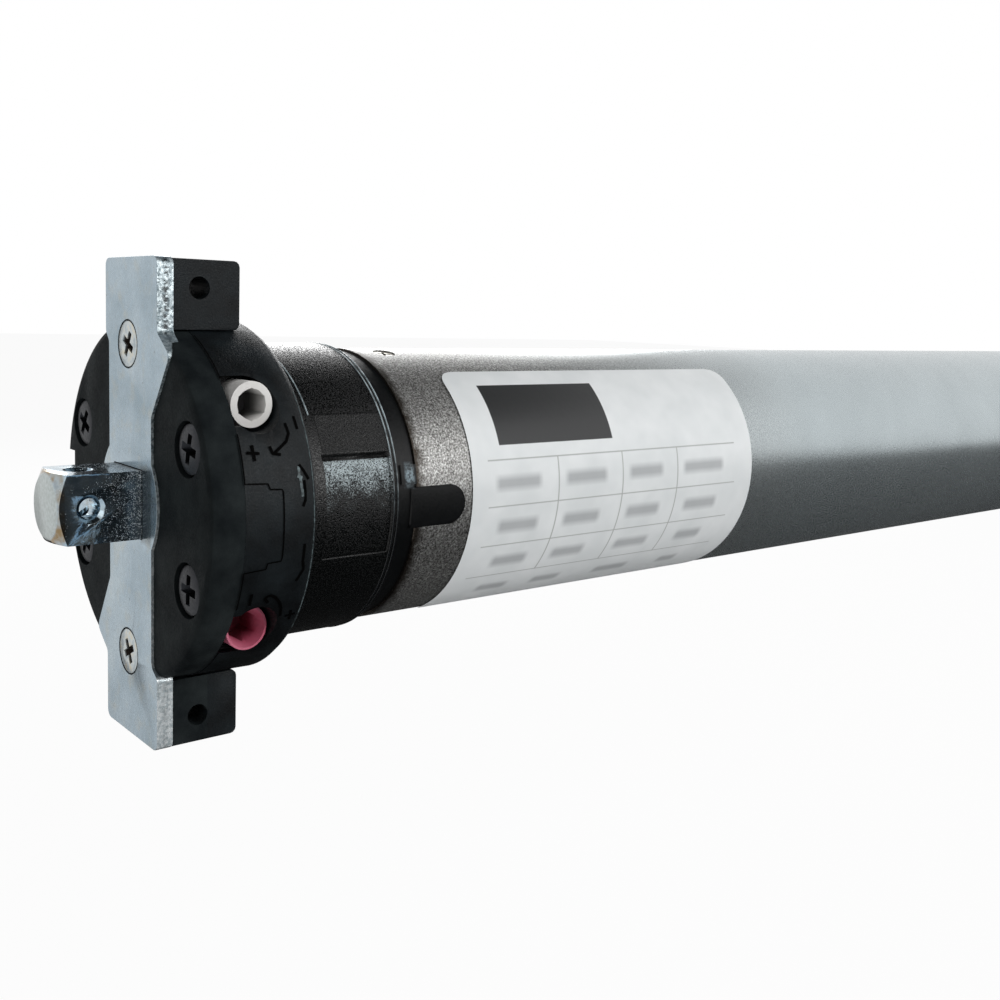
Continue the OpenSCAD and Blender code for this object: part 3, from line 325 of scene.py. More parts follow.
def moulded(name, dark, light, roughness, grain_mm, depth_mm, mottle_mm=5, gloss=0.5):
    material, tree, shader, place = new_material(name)
    skin = grain(tree, place, grain_mm, 3)
    fill(tree, shader, {
        "Base Color": ramp(tree, grain(tree, place, mottle_mm, 3), [(0.35, dark), (0.7, light)]),
        "Roughness": remap(tree, skin, 0.35, 0.65, roughness - GRAIN_SPREAD, roughness + GRAIN_SPREAD),
        "Normal": bump(tree, skin, depth_mm),
        "IOR": NYLON_IOR,
        "Specular IOR Level": gloss,
    })
    return material


head_nylon = moulded("glass_filled_nylon", "#080b0d", "#171d20", 0.5, 0.26, 0.05, gloss=0.22)
cover_nylon = moulded("matte_cover_nylon", "#171b1d", "#292e2f", 0.56, 0.26, 0.05, gloss=0.03)
collar_nylon = moulded("polished_nylon", "#050607", "#0b0d0e", 0.4, 0.4, 0.02, gloss=0.24)
inner_nylon = moulded("plain_black_nylon", "#1c1d1f", "#26272a", 0.5, 0.3, 0.02)
white_acetal = moulded("white_acetal", "#dcdad7", "#e8e7e4", 0.42, 0.6, 0.01)
red_acetal = moulded("red_acetal", "#b9536c", "#cb7289", 0.4, 0.5, 0.02)
socket_nylon = moulded("natural_nylon", "#dcd8ca", "#e6e3d8", 0.45, 0.5, 0.01)
gear_nylon = moulded("gear_nylon", "#d2cdbd", "#dfdbce", 0.42, 0.5, 0.01)
phenolic = moulded("switch_phenolic", "#202123", "#2a2b2d", 0.4, 0.3, 0.015)
plunger_red = moulded("switch_button_red", "#b63c33", "#c84c41", 0.35, 0.5, 0.01)
can_grey = moulded("capacitor_can", "#c6cacd", "#d2d6d8", 0.35, 0.8, 0.01)
# painted shade: near-black for engraved grooves and for the gaps round the plate's screws and pin; the
# joint line uses it too
painted_shade_and_joint_black = moulded("engraved_shadow", "#010101", "#030303", 0.8, 0.3, 0.01, gloss=0.05)
# painted highlight: a pale nylon for the glints painted beside an arrow and on the disc's rear chamfer
painted_glint_nylon = moulded("painted_glint_nylon", "#23292b", "#6b7a7d", 0.45, 0.3, 0.03, 0.7, gloss=0.3)
lining = moulded("pressed_fibre_lining", "#6d4629", "#8c5e3a", 0.75, 0.4, 0.05, 1.2)
print("moulded materials ready")

# %% [markdown]
# Little light reaches the bottom of the two hexagon sockets, so their walls are painted darker with
# depth: painted shade. A wall is what lies close to the adjuster's own axis, and its depth is
# counted from the adjuster's face, which is the lowest Y of its box.

# %% Painted shade in the sockets
SOCKET_DEPTH = 6.2 * MM
WALL_EDGE = 0.04  # in mm, over which the dark fades out at the socket's mouth


def darker_socket(node, material, mouth_mm, near_mm, far_mm, deep):
    low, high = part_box(node)
    to_face = (-(low[0] + high[0]) / 2, -low[1], -(low[2] + high[2]) / 2)
    tree, shader, plain, place = reopened(material)
    centred = add(tree, "ShaderNodeMapping", {"Vector": place, "Location": to_face})
    axes = split(tree, centred.outputs["Vector"])
    squares = [calc(tree, "POWER", axes[a], 2.0) for a in "XZ"]
    away = calc(tree, "POWER", plus(tree, *squares), 0.5)
    inside = remap(tree, away, mouth_mm * MM, (mouth_mm + WALL_EDGE) * MM, 1, 0)
    in_socket = calc(tree, "LESS_THAN", axes["Y"], SOCKET_DEPTH)
    # painted shade: the walls darken from the mouth inwards
    dark = times(tree, inside, in_socket, remap(tree, axes["Y"], near_mm * MM, far_mm * MM))
    fill(tree, shader, {"Base Color": mix(tree, dark, plain, deep)})
    print(node, "face at Y", round(low[1] / MM, 2), "mm")


darker_socket("white_adjuster", white_acetal, 2.45, 0.1, 4.5, "#5a5a5a")
darker_socket("red_adjuster", red_acetal, 2.95, 0.5, 3.6, "#7a2c3c")

# %% [markdown]
# ## The crown ring's two grains
# The ring is glossier than the head. Most of it has a fine leathery grain, but between the two
# raised borders of its panel the tool was left coarse, and there each little facet catches the
# light. In the panel's upper half pale glints are painted into the colour as well, a painted
# highlight that fades downwards. Angle round the axis and distance along it pick out the panel, on
# both sides of the ring.

# %% Material: crown ring
PANEL_RISE, BAND_RISE = ([math.tan(math.radians(a)) for a in span]
                         for span in ((-17.0, 18.4), (21.3, 36.0)))


def crown_material():
    material, tree, shader, place = new_material("crown_ring_nylon")
    axes = split(tree, place)
    # minus Z over Y is the tangent of the angle above the horizontal, the same on both sides
    rise = times(tree, calc(tree, "DIVIDE", axes["Z"], axes["Y"]), -1.0)
    along = mask_between(tree, axes["X"], 20.0 * MM, 31.6 * MM, 0.1 * MM)
    in_panel, in_band = (times(tree, mask_between(tree, rise, *span, 0.01), along)
                         for span in (PANEL_RISE, BAND_RISE))
    coarse = grain(tree, place, 0.22, 3)
    fine = grain(tree, place, 0.24, 2)
    # painted highlight: pale glints painted on the panel's facets, strongest at the top, fading
    # downwards
    uneven = remap(tree, grain(tree, place, 2.2, 2), 0.3, 0.7, -0.06, 0.06)
    painted_glint_fade = remap(tree, plus(tree, rise, uneven), 0, 0.27)
    glint = remap(tree, plus(tree, coarse, times(tree, painted_glint_fade, 0.2)), 0.56, 0.76)
    black = ramp(tree, fine, [(0.4, "#020303"), (0.7, "#080a0b")])
    deep = times(tree, coarse, in_panel, remap(tree, painted_glint_fade, 0, 1, 0.2, 1))
    skin = bump(tree, times(tree, coarse, in_band), 0.2, 1.0, bump(tree, fine, 0.07))
    fill(tree, shader, {
        "Base Color": mix(tree, times(tree, glint, in_panel, painted_glint_fade), black, "#c9d6da"),
        # polished grains between dull ones: they sparkle only where something bright is mirrored
        "Roughness": remap(tree, fine, 0.42, 0.58, 0.15, 0.55),
        "IOR": NYLON_IOR,
        "Specular IOR Level": 0.42,
        "Normal": bump(tree, deep, 0.35, 1.0, skin),
    })
    return material


crown_nylon = crown_material()
print(crown_nylon.name, "has", len(crown_nylon.node_tree.nodes), "nodes")

# %% [markdown]
# The thin lips at the ring's edges get a nylon of their own: dark, with a patchy pale painted
# highlight towards the top. The collar gets a painted highlight too, a pale patch at its raised
# corner above the tongue, on the -Y side only.

# %% Painted highlights on the lips and the collar


def lip_material():
    material, tree, shader, place = new_material("lip_nylon_painted_highlight")
    # painted highlight: pale towards the top, dark below
    high = remap(tree, split(tree, place)["Z"], -2 * MM, 15 * MM)
    patchy = ramp(tree, grain(tree, place, 1.8, 2), [(0.35, "#59656a"), (0.6, "#b4c3c8")])
    fill(tree, shader, {"Base Color": mix(tree, high, "#14171a", patchy), "Roughness": 0.25,
                        "IOR": NYLON_IOR})
    return material


def paint_collar_glint(material):
    tree, shader, plain, place = reopened(material)
    axes = split(tree, place)
    # painted highlight: a pale patch on the collar's raised corner above the tongue, -Y side only
    spot = times(tree, mask_between(tree, axes["X"], 34.6 * MM, 36.1 * MM, 0.3 * MM),
                 mask_between(tree, axes["Z"], 3.0 * MM, 5.6 * MM, 0.8 * MM),
                 calc(tree, "LESS_THAN", axes["Y"], -20 * MM))
    patchy = ramp(tree, grain(tree, place, 0.5, 2), [(0.38, 0.15), (0.6, 1.0)])
    fill(tree, shader, {"Base Color": mix(tree, times(tree, spot, patchy), plain, "#8798a0")})


lip_painted_highlight_nylon = lip_material()
paint_collar_glint(collar_nylon)
print("worn places ready")

# %% [markdown]
# ## The tube's skin
# The tube is galvanised and then lightly blasted, which leaves a sand-like grain of light and dark
# points about a third of a millimetre wide. Handling has rubbed the grain away further back. At its
# front end the coating is burnt to a brown rim.

# %% Material: blasted tube


def tube_material():
    material, tree, shader, place = new_material("blasted_galvanised_steel")
    along = split(tree, place)["X"]
    sand = grain(tree, place, 0.3, 3)
    salt = ramp(tree, sand,
                [(0.34, "#575654"), (0.46, "#8b8a88"), (0.55, "#a6a6a4"), (0.68, "#dcdddb")])
    smooth = remap(tree, along, 55 * MM, 140 * MM)
    steel = ramp(tree, grain(tree, place, 14, 2), [(0.3, "#b0b9bc"), (0.75, "#b8c1c4")])
    wander = remap(tree, grain(tree, place, 1.6, 3), 0, 1, -1.2 * MM, 1.2 * MM)
    rim = remap(tree, plus(tree, along, wander), 36.9 * MM, 38.5 * MM, 0.92, 0)
    height = times(tree, sand, remap(tree, smooth, 0, 1, 0.06, 0.012))
    fill(tree, shader, {
        "Base Color": mix(tree, rim, mix(tree, smooth, salt, steel), "#2a2117"),
        "Metallic": 0.85,
        "Roughness": plus(tree, remap(tree, sand, 0.3, 0.7, 0.34, 0.5),
                          remap(tree, smooth, 0, 1, 0, -0.16)),
        "Normal": bump(tree, height, 1.0, 0.8),
    })
    return material


tube_skin = tube_material()
print(tube_skin.name, "has", len(tube_skin.node_tree.nodes), "nodes")

# %% [markdown]
# ## Metals that are only seen when the motor is open
# Turned, ground, cast and sintered parts differ mostly in colour, in roughness and in the direction
# of their marks. One recipe covers them, with marks that run round the axis or have no direction.

# %% Material: worked metals
ROUND_MARKS = (1, 0.05, 0.05)


def worked_metal(name, dark, light, roughness, mark_mm, depth_mm=0.01, stretch=(1, 1, 1)):
    material, tree, shader, place = new_material(name)
    marks = grain(tree, place, mark_mm, 2, stretch)
    fill(tree, shader, {
        "Base Color": ramp(tree, grain(tree, place, 6, 3), [(0.35, dark), (0.7, light)]),
        "Metallic": 1.0,
        "Roughness": remap(tree, marks, 0.3, 0.7, roughness - 0.07, roughness + 0.1),
        "Normal": bump(tree, marks, depth_mm),
    })
    return material


screw_zinc = worked_metal("zinc_screw", "#a59d8d", "#c6c6c0", 0.3, 0.4)
black_screw = worked_metal("black_oxide_screw", "#26272a", "#34363a", 0.42, 0.3)
ground_steel = worked_metal("ground_steel", "#a3a8ab", "#b8bcbe", 0.22, 0.25, stretch=ROUND_MARKS)
sintered_steel = worked_metal("sintered_steel", "#6f7275", "#83868a", 0.45, 0.3, 0.02)
cast_aluminium = worked_metal("cast_aluminium", "#b0b2b4", "#c2c4c6", 0.4, 0.6, 0.02)
cast_zinc = worked_metal("cast_zinc", "#9b978f", "#aca89f", 0.4, 0.5, 0.015)
turned_brass = worked_metal("turned_brass", "#b8913f", "#cda956", 0.24, 0.3, stretch=ROUND_MARKS)
sintered_bronze = worked_metal("sintered_bronze", "#8f6a37", "#a9824a", 0.42, 0.3, 0.02)
spring_steel = worked_metal("spring_steel", "#b0b5b8", "#c5cacc", 0.25, 0.3)
print("materials so far:", len(bpy.data.materials))

# %% [markdown]
# The plate's own two screws are zinc plated as well. Their recesses are painted dark brown with
# depth below the head's face, which is painted shade, and this finish turns dull there too.

# %% Material: plate screws


def screw_with_painted_recess_shade():
    material, tree, shader, place = new_material("plate_screw_zinc")
    # painted shade: dark brown deeper in the recess
    depth = remap(tree, split(tree, place)["X"], 0.08 * MM, 0.35 * MM)
    bright = ramp(tree, grain(tree, place, 1.4, 3),
                  [(0.35, "#a9b3b7"), (0.5, "#c6cdce"), (0.68, "#cfc8b4")])
    fill(tree, shader, {
        "Base Color": mix(tree, depth, bright, "#2a2018"),
        "Roughness": remap(tree, depth, 0, 1, 0.36, 0.9),
        "Metallic": remap(tree, depth, 0, 1, 0.85, 0.1),
        "Normal": bump(tree, grain(tree, place, 0.3, 2), 0.01),
    })
    return material


plate_screw_zinc = screw_with_painted_recess_shade()
print(plate_screw_zinc.name, "ready")

# %% [markdown]
# Stator and rotor are stacks of thin sheets, which shows as fine rings along the axis. The windings
# are varnished copper wire.

# %% Materials: laminations and copper


def striped(name, waves, kind, stops, depth_mm, finish):
    material, tree, shader, place = new_material(name)
    stripes = add(tree, "ShaderNodeTexWave", {"Vector": place, **waves}, **kind).outputs["Fac"]
    fill(tree, shader, {"Base Color": ramp(tree, stripes, stops),
                        "Normal": bump(tree, stripes, depth_mm),
                        **finish})
    return material


# real sheets are 0.5 mm thick; they are drawn wider so that they show
lamination = striped("laminated_electrical_steel", {"Scale": 1 / (10 * MM), "Distortion": 0.2},
                     {"wave_type": "BANDS", "bands_direction": "X"},
                     [(0.2, "#5b5d5f"), (0.6, "#85888a")],
                     0.05, {"Metallic": 0.9, "Roughness": 0.45})
copper_wire = striped("varnished_copper_wire",
                      {"Scale": 1 / (3 * MM), "Distortion": 1.2, "Detail Scale": 2.0},
                      {"wave_type": "RINGS", "rings_direction": "X"},
                      [(0.15, "#7a3a17"), (0.7, "#c07a3e")],
                      0.12, {"Metallic": 0.5, "Roughness": 0.32, "Coat Weight": 0.6})
print("materials ready:", len(bpy.data.materials))

# %% [markdown]
# ## Which material goes where
# The CAD pieces keep their shapes. Each gets its finish through its material slot, and the ones
# that are seen up close get a softened copy: corners of real parts are never sharp, and a thin
# bright line along an edge is what tells the eye how big a thing is.

# %% Give every CAD node its finish
FINISHES = [
    (plate_zinc, "mounting_plate"), (pin_zinc, "square_pin"), (plate_screw_zinc, "plate_screws"),
    (cover_nylon, "head_cover"), (head_nylon, "head_body end_cap"), (crown_nylon, "crown_ring"),
    (collar_nylon, "limit_housing"), (inner_nylon, "limit_end_plate capacitor_holder"),
    (white_acetal, "white_adjuster white_setting_shaft white_limit_nut white_striker"),
    (red_acetal, "red_adjuster red_setting_shaft red_limit_nut red_striker"),
    (socket_nylon, "cable_socket"), (plunger_red, "white_plunger red_plunger"),
    (phenolic, "limit_switches"), (tube_skin, "motor_tube"), (can_grey, "run_capacitor rating_label"),
    (screw_zinc, "housing_screws tube_screws"), (black_screw, "cover_screws shaft_circlip"),
    (turned_brass, "white_threaded_rod red_threaded_rod"), (spring_steel, "brake_spring"),
    (cast_aluminium, "front_end_shield rear_end_shield"), (cast_zinc, "carrier_1 carrier_2"),
    (lamination, "stator_core rotor_core"), (copper_wire, "stator_windings brake_magnet"),
    (ground_steel, "rotor_bearings rotor_shaft output_shaft planet_pins_1 planet_pins_2 planet_pins_3"),
    (sintered_steel, "brake_armature ring_gear planet_2a planet_2b planet_2c"),
    (sintered_steel, "planet_3a planet_3b planet_3c"), (gear_nylon, "planet_1a planet_1b planet_1c"),
    (lining, "brake_disc"), (sintered_bronze, "output_bearing"),
]
FINISH = {node: material for material, nodes in FINISHES for node in nodes.split()}
for name, cad in frame["nodes"].items():
    cad.data.materials.clear()
    cad.data.materials.append(FINISH[name])
print("nodes with a finish:", len(frame["nodes"]))

# %% Helpers for pieces
body_of = {node: body for body, names in frame["record"]["behaviour"]["bodies"].items()
           for node in names}


def own_piece(mesh, name, body, material, replaced=()):
    piece = put(name, mesh)
    mesh.materials.clear()
    mesh.materials.append(material)
    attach(piece, body)
    if replaced:
        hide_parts(*replaced)
    return piece


def as_mesh(build, name):
    mesh = bpy.data.meshes.new(name)
    build.to_mesh(mesh)
    build.free()
    return mesh


def applied(holder, name):
    """The mesh that an object's modifiers make, as a plain mesh. The object itself goes."""
    mesh = bpy.data.meshes.new_from_object(holder.evaluated_get(bpy.context.evaluated_depsgraph_get()))
    mesh.name = name
    bpy.data.objects.remove(holder)
    return mesh


# %% Softened copies of the pieces that show


def true_round(mesh):
    """Facets that lie on a cylinder round the motor's axis get that cylinder's exact normals."""
    normals = [Vector(corner.vector) for corner in mesh.corner_normals]
    for facet in mesh.polygons:
        outward = Vector((0, facet.center.y, facet.center.z)).normalized()
        side = facet.normal.dot(outward)
        reach = [math.hypot(*mesh.vertices[v].co.yz) for v in facet.vertices]
        if abs(side) > 0.985 and max(reach) - min(reach) < 0.01 * MM:
            for corner in facet.loop_indices:
                spot = mesh.vertices[mesh.loops[corner].vertex_index].co
                normals[corner] = Vector((0, spot.y, spot.z)).normalized() * (1 if side > 0 else -1)
    mesh.normals_split_custom_set(normals)


def softened(node, edge_mm, turn=math.radians(35)):
    source = bmesh.new()
    source.from_mesh(frame["nodes"][node].data)
    bmesh.ops.remove_doubles(source, verts=source.verts, dist=1e-6)
    if edge_mm:
        bmesh.ops.dissolve_limit(source, angle_limit=math.radians(0.3), verts=source.verts,
                                 edges=source.edges)
    mesh = as_mesh(source, node + "_soft")
    mesh.shade_smooth()
    mesh.set_sharp_from_angle(angle=turn)
    if edge_mm:
        holder = put(node + "_holder", mesh)
        rounding = holder.modifiers.new("rounded_edges", "BEVEL")
        rounding.width = edge_mm * MM
        rounding.segments = 2
        rounding.limit_method = "ANGLE"
        rounding.angle_limit = turn
        rounding.harden_normals = True
        rounding.use_clamp_overlap = True
        mesh = applied(holder, node + "_soft")
    true_round(mesh)
    return own_piece(mesh, node + "_soft", body_of[node], FINISH[node], [node])


EDGES_MM = {"mounting_plate": 0.25, "square_pin": 0.45, "head_cover": 0.12, "head_body": 0.12,
            "white_adjuster": 0.1, "red_adjuster": 0.1, "crown_ring": 0, "limit_housing": 0,
            "motor_tube": 0, "end_cap": 0.12, "output_shaft": 0.15}
for node, edge in EDGES_MM.items():
    soft = softened(node, edge)
    print(soft.name, len(soft.data.polygons), "faces")

# %% [markdown]
# ## The label
# The label is a printed film wrapped round the tube. It is made flat, as a rounded rectangle cut
# into small squares, and then bent. Its UV map is the flat label in millimetres, so the print can be
# drawn in the material with real sizes. The print is generic: a plain dark field, ruled lines and
# plain soft bars.

# %% Label mesh
TUBE_R = 22.5
FILM_LIFT = 0.15
FILM_CORNER = 3.0
LABEL_X = (47.4, 117.9)
LABEL_ANGLES = (-72.0, 58.0)
film_length = LABEL_X[1] - LABEL_X[0]
film_height = math.radians(LABEL_ANGLES[1] - LABEL_ANGLES[0]) * TUBE_R


def on_tube(x_mm, angle, radius_mm):
    a = math.radians(angle)
    return Vector((x_mm, -radius_mm * math.cos(a), radius_mm * math.sin(a))) * MM


def label_mesh(columns=94, rows=130):
    build = bmesh.new()
    uv = build.loops.layers.uv.new("flat_mm")
    grid = {}
    flat = {}
    for j in range(rows + 1):
        v = film_height * j / rows
        # near the two ends the rows get shorter, as a quarter circle does
        past = max(0, FILM_CORNER - min(v, film_height - v))
        inset = FILM_CORNER - math.sqrt(max(0, FILM_CORNER ** 2 - past ** 2))
        angle = LABEL_ANGLES[0] + (LABEL_ANGLES[1] - LABEL_ANGLES[0]) * v / film_height
        for i in range(columns + 1):
            u = inset + (film_length - 2 * inset) * i / columns
            grid[i, j] = build.verts.new(on_tube(LABEL_X[0] + u, angle, TUBE_R + FILM_LIFT))
            flat[grid[i, j]] = (u, v)
    for j in range(rows):
        for i in range(columns):
            face = build.faces.new((grid[i, j], grid[i + 1, j], grid[i + 1, j + 1], grid[i, j + 1]))
            for loop in face.loops:
                loop[uv].uv = flat[loop.vert]
    bmesh.ops.recalc_face_normals(build, faces=build.faces)
    mesh = as_mesh(build, "label_film")
    mesh.shade_smooth()
    return mesh


film = label_mesh()
print("label, flat:", round(film_length, 1), "by", round(film_height, 1), "mm")

# %% [markdown]
# ## The label's print
# Each printed patch is a rectangle in the flat label's millimetres. The mask function from above
# gives a soft-edged band, and two bands multiplied give a rectangle. A patch is written as it lies
# on the tube, by distance along the axis and by angle.

# %% Label material
DARK_FIELD = (53.7, 20.5, 79.9, 49)
RULED_LINES = [(50.8, 14.2, 112.8, 14.7), (50.8, -4.9, 112.8, -4.5), (50.8, -22.5, 112.8, -22.1),
               (50.8, -40.0, 112.8, -39.6)]
UPRIGHT_LINES = [(x, -40, x + 0.25, 14.4) for x in (66.0, 81.5, 96.0)]
BARS = [(x0, angle - 2.6, x1, angle + 2.6) for k, angle in enumerate((4.8, -13.6, -31.0, -50.0))
        for x0, x1 in ((52.5 + k, 62.0), (68.0, 77.5 - k), (83.5, 92.0), (98.0 + k, 109.0 - k))]


def print_patch(tree, u, v, patch, soft):
    x0, angle0, x1, angle1 = patch
    low, high = (math.radians(a - LABEL_ANGLES[0]) * TUBE_R for a in (angle0, angle1))
    return times(tree, mask_between(tree, u, x0 - LABEL_X[0], x1 - LABEL_X[0], soft),
                 mask_between(tree, v, low, high, soft))


def label_material():
    material, tree, shader, place = new_material("printed_polyester_film")
    flat = split(tree, add(tree, "ShaderNodeUVMap", uv_map="flat_mm").outputs[0])
    colour = ramp(tree, grain(tree, place, 7, 2), [(0.35, "#e0e4e5"), (0.7, "#ebeeef")])
    for patches, soft, share, ink in (
            ([DARK_FIELD], 0.06, [], "#2b2c2d"), (RULED_LINES, 0.08, [], "#a5a8a6"),
            (UPRIGHT_LINES, 0.08, [], "#b0b3b1"), (BARS, 0.6, [0.55], "#84878a")):
        for patch in patches:
            covered = times(tree, print_patch(tree, flat["X"], flat["Y"], patch, soft), *share)
            colour = mix(tree, covered, colour, ink)
    fill(tree, shader, {"Base Color": colour, "Roughness": 0.29, "IOR": 1.5,
                        "Normal": bump(tree, grain(tree, place, 1.1, 1), 0.01)})
    return material


own_piece(film, "label_film", "head", label_material(), ["rating_label"])
print("print patches:", 1 + len(RULED_LINES) + len(UPRIGHT_LINES) + len(BARS))

# %% [markdown]
# ## Signs on the head
# Plus, minus and arrows beside the two adjusters tell which way each limit moves. On the real head
# they are engraved. A stroke is a narrow ribbon that follows the round side of the disc, laid a
# hair above it and nearly black: painted shade for the shade inside a groove this narrow.

# %% Ribbons on a round surface
RIBBON_STEP = 0.5


def ribbon(build, points, width_mm, radius_mm):
    """points are (distance along the axis, angle) pairs; the ribbon follows them."""
    flat = [Vector((x, math.radians(a) * radius_mm)) for x, a in points]
    fine = [flat[0]]
    for one, two in zip(flat, flat[1:]):
        steps = max(1, int((two - one).length / RIBBON_STEP))
        fine += [one.lerp(two, k / steps) for k in range(1, steps + 1)]
    pairs = []
    for k, p in enumerate(fine):
        ahead = (fine[min(k + 1, len(fine) - 1)] - fine[max(k - 1, 0)]).normalized()
        side = Vector((-ahead.y, ahead.x)) * width_mm / 2
        pairs.append([build.verts.new(on_tube(q.x, math.degrees(q.y / radius_mm), radius_mm))
                      for q in (p + side, p - side)])
    for (a, b), (c, d) in zip(pairs, pairs[1:]):
        build.faces.new((a, b, d, c))


def ribbons(name, strokes, width_mm, radius_mm, material):
    build = bmesh.new()
    for stroke in strokes:
        ribbon(build, stroke, width_mm, radius_mm)
    bmesh.ops.recalc_face_normals(build, faces=build.faces)
    mesh = as_mesh(build, name)
    for polygon in mesh.polygons:
        if polygon.normal.dot(Vector((0, polygon.center.y, polygon.center.z))) < 0:
            polygon.flip()
    print(name, len(strokes), "strokes")
    return own_piece(mesh, name, "head", material)


# %% The signs and a painted highlight beside an arrow
DISC_R = 27.0
STROKE = 0.42
SIGNS = [
    # plus, arrow and minus of the upper adjuster
    [(6.0, 21.0), (7.9, 20.6)], [(6.95, 23.2), (7.05, 18.5)],
    [(12.7, 29.4), (12.9, 26.2), (12.3, 23.8), (11.1, 21.9), (10.1, 20.4)],
    [(9.6, 22.6), (9.9, 20.4), (11.1, 19.9)],
    [(14.3, 31.5), (14.4, 27.3)],
    # the two arrows that show which way the crown ring turns
    [(13.65, 16.7), (14.3, 14.7), (14.9, 12.3)], [(14.2, 12.1), (14.25, 8.6), (14.2, 6.3), (13.8, 4.5)],
    [(14.2, -6.6), (14.2, -12.0), (14.5, -14.7)], [(14.5, -14.6), (13.6, -18.4)],
    # minus, arrow and plus of the lower adjuster
    [(7.0, -20.9), (7.05, -25.0)],
    [(9.2, -23.3), (9.6, -22.5), (10.1, -22.3), (10.8, -23.1), (11.7, -25.2), (12.3, -27.7),
     (12.6, -31.0)],
    [(9.2, -23.2), (9.9, -24.9)],
    [(14.1, -29.2), (14.35, -33.1)], [(13.45, -31.4), (15.0, -30.9)],
]
# painted highlight: paler ribbons beside the up arrow stand for its groove's lit wall
PAINTED_GLINT_ARROW = [[(13.55, 16.2), (13.45, 13.2)], [(13.2, 13.4), (13.95, 12.9)],
                [(13.6, 13.2), (13.85, 7.4)]]
ribbons("engraved_signs", SIGNS, STROKE, DISC_R + 0.02, painted_shade_and_joint_black)
ribbons("rubbed_arrow", PAINTED_GLINT_ARROW, STROKE, DISC_R + 0.01, painted_glint_nylon)

# %% [markdown]
# Where the two moulded shells of the head meet, the joint shows as a hairline that steps round the
# tongue of the front shell. It is drawn with the same ribbons, narrower.

# %% Joint line of the two shells
HAIRLINE = 0.2
JOINT = [
    [(5.15, 26.6), (5.15, 12.2), (8.6, 11.8), (8.9, 10.2), (10.7, 9.9), (10.85, 9.0), (10.85, -10.0),
     (10.7, -11.2), (8.7, -11.4), (8.5, -13.2), (5.2, -13.7), (5.2, -26.0)],
    [(5.2, 66.0), (5.2, 45.0)], [(5.2, -45.0), (5.2, -66.0)],
]
ribbons("joint_line", JOINT, HAIRLINE, DISC_R, painted_shade_and_joint_black)

# %% [markdown]
# ## Raised lips, with geometry nodes
# Two thin lips run round the rear edge of the crown ring, and one more round the front of its smooth
# part. A lip is a circle swept with a tiny round profile, which is what Curve to Mesh does. The tree
# takes the radius, the place and the thickness as inputs, so one tree makes every lip. It ends in
# Realize Instances and Set Material, as every tree here does, and its result becomes a plain mesh.

# %% Open and close a tree, and run it


def open_tree(name, numbers):
    tree = bpy.data.node_groups.new(name, "GeometryNodeTree")
    tree.interface.new_socket(name="Geometry", in_out="INPUT", socket_type="NodeSocketGeometry")
    for number in numbers:
        tree.interface.new_socket(name=number, in_out="INPUT", socket_type="NodeSocketFloat")
    tree.interface.new_socket(name="Geometry", in_out="OUTPUT", socket_type="NodeSocketGeometry")
    return tree, add(tree, "NodeGroupInput").outputs


def close_tree(tree, geometry, material):
    whole = add(tree, "GeometryNodeRealizeInstances", {"Geometry": geometry})
    dressed = add(tree, "GeometryNodeSetMaterial", {"Geometry": whole.outputs["Geometry"],
                  "Material": material})
    add(tree, "NodeGroupOutput", {"Geometry": dressed.outputs["Geometry"]})
    return tree


def grown(name, tree, values, base=None):
    """Runs a node tree on an empty mesh, or on base, and returns the result as a plain mesh."""
    holder = put(name + "_holder", base or bpy.data.meshes.new(name + "_base"))
    modifier = holder.modifiers.new("grow", "NODES")
    modifier.node_group = tree
    for item in tree.interface.items_tree:
        if item.in_out == "INPUT" and item.name in values:
            modifier[item.identifier] = values[item.name]
    return applied(holder, name)


# %% A tree that makes a lip, and the lips


def lip_tree(material):
    tree, given = open_tree("ring_lip",
                            ["Radius", "Distance", "Thickness", "First angle", "Last angle"])
    sweep = calc(tree, "SUBTRACT", given["Last angle"], given["First angle"])
    arc = add(tree, "GeometryNodeCurveArc", {"Radius": given["Radius"],
              "Start Angle": given["First angle"], "Sweep Angle": sweep, "Resolution": 240},
              mode="RADIUS")
    # the arc lies in X and Y; turned so that it lies round the motor's axis, angle 0 towards -Y
    spun = add(tree, "GeometryNodeTransform", {"Geometry": arc.outputs["Curve"],
               "Rotation": (-math.pi / 2, 0, -math.pi / 2)})
    profile = add(tree, "GeometryNodeCurvePrimitiveCircle",
                  {"Resolution": 8, "Radius": given["Thickness"]})
    swept = add(tree, "GeometryNodeCurveToMesh", {"Curve": spun.outputs["Geometry"],
                "Profile Curve": profile.outputs["Curve"], "Fill Caps": True})
    along = add(tree, "ShaderNodeCombineXYZ", {"X": given["Distance"]})
    moved = add(tree, "GeometryNodeTransform", {"Geometry": swept.outputs["Mesh"],
                "Translation": along.outputs["Vector"]})
    return close_tree(tree, moved.outputs["Geometry"], material)


lip = lip_tree(lip_painted_highlight_nylon)
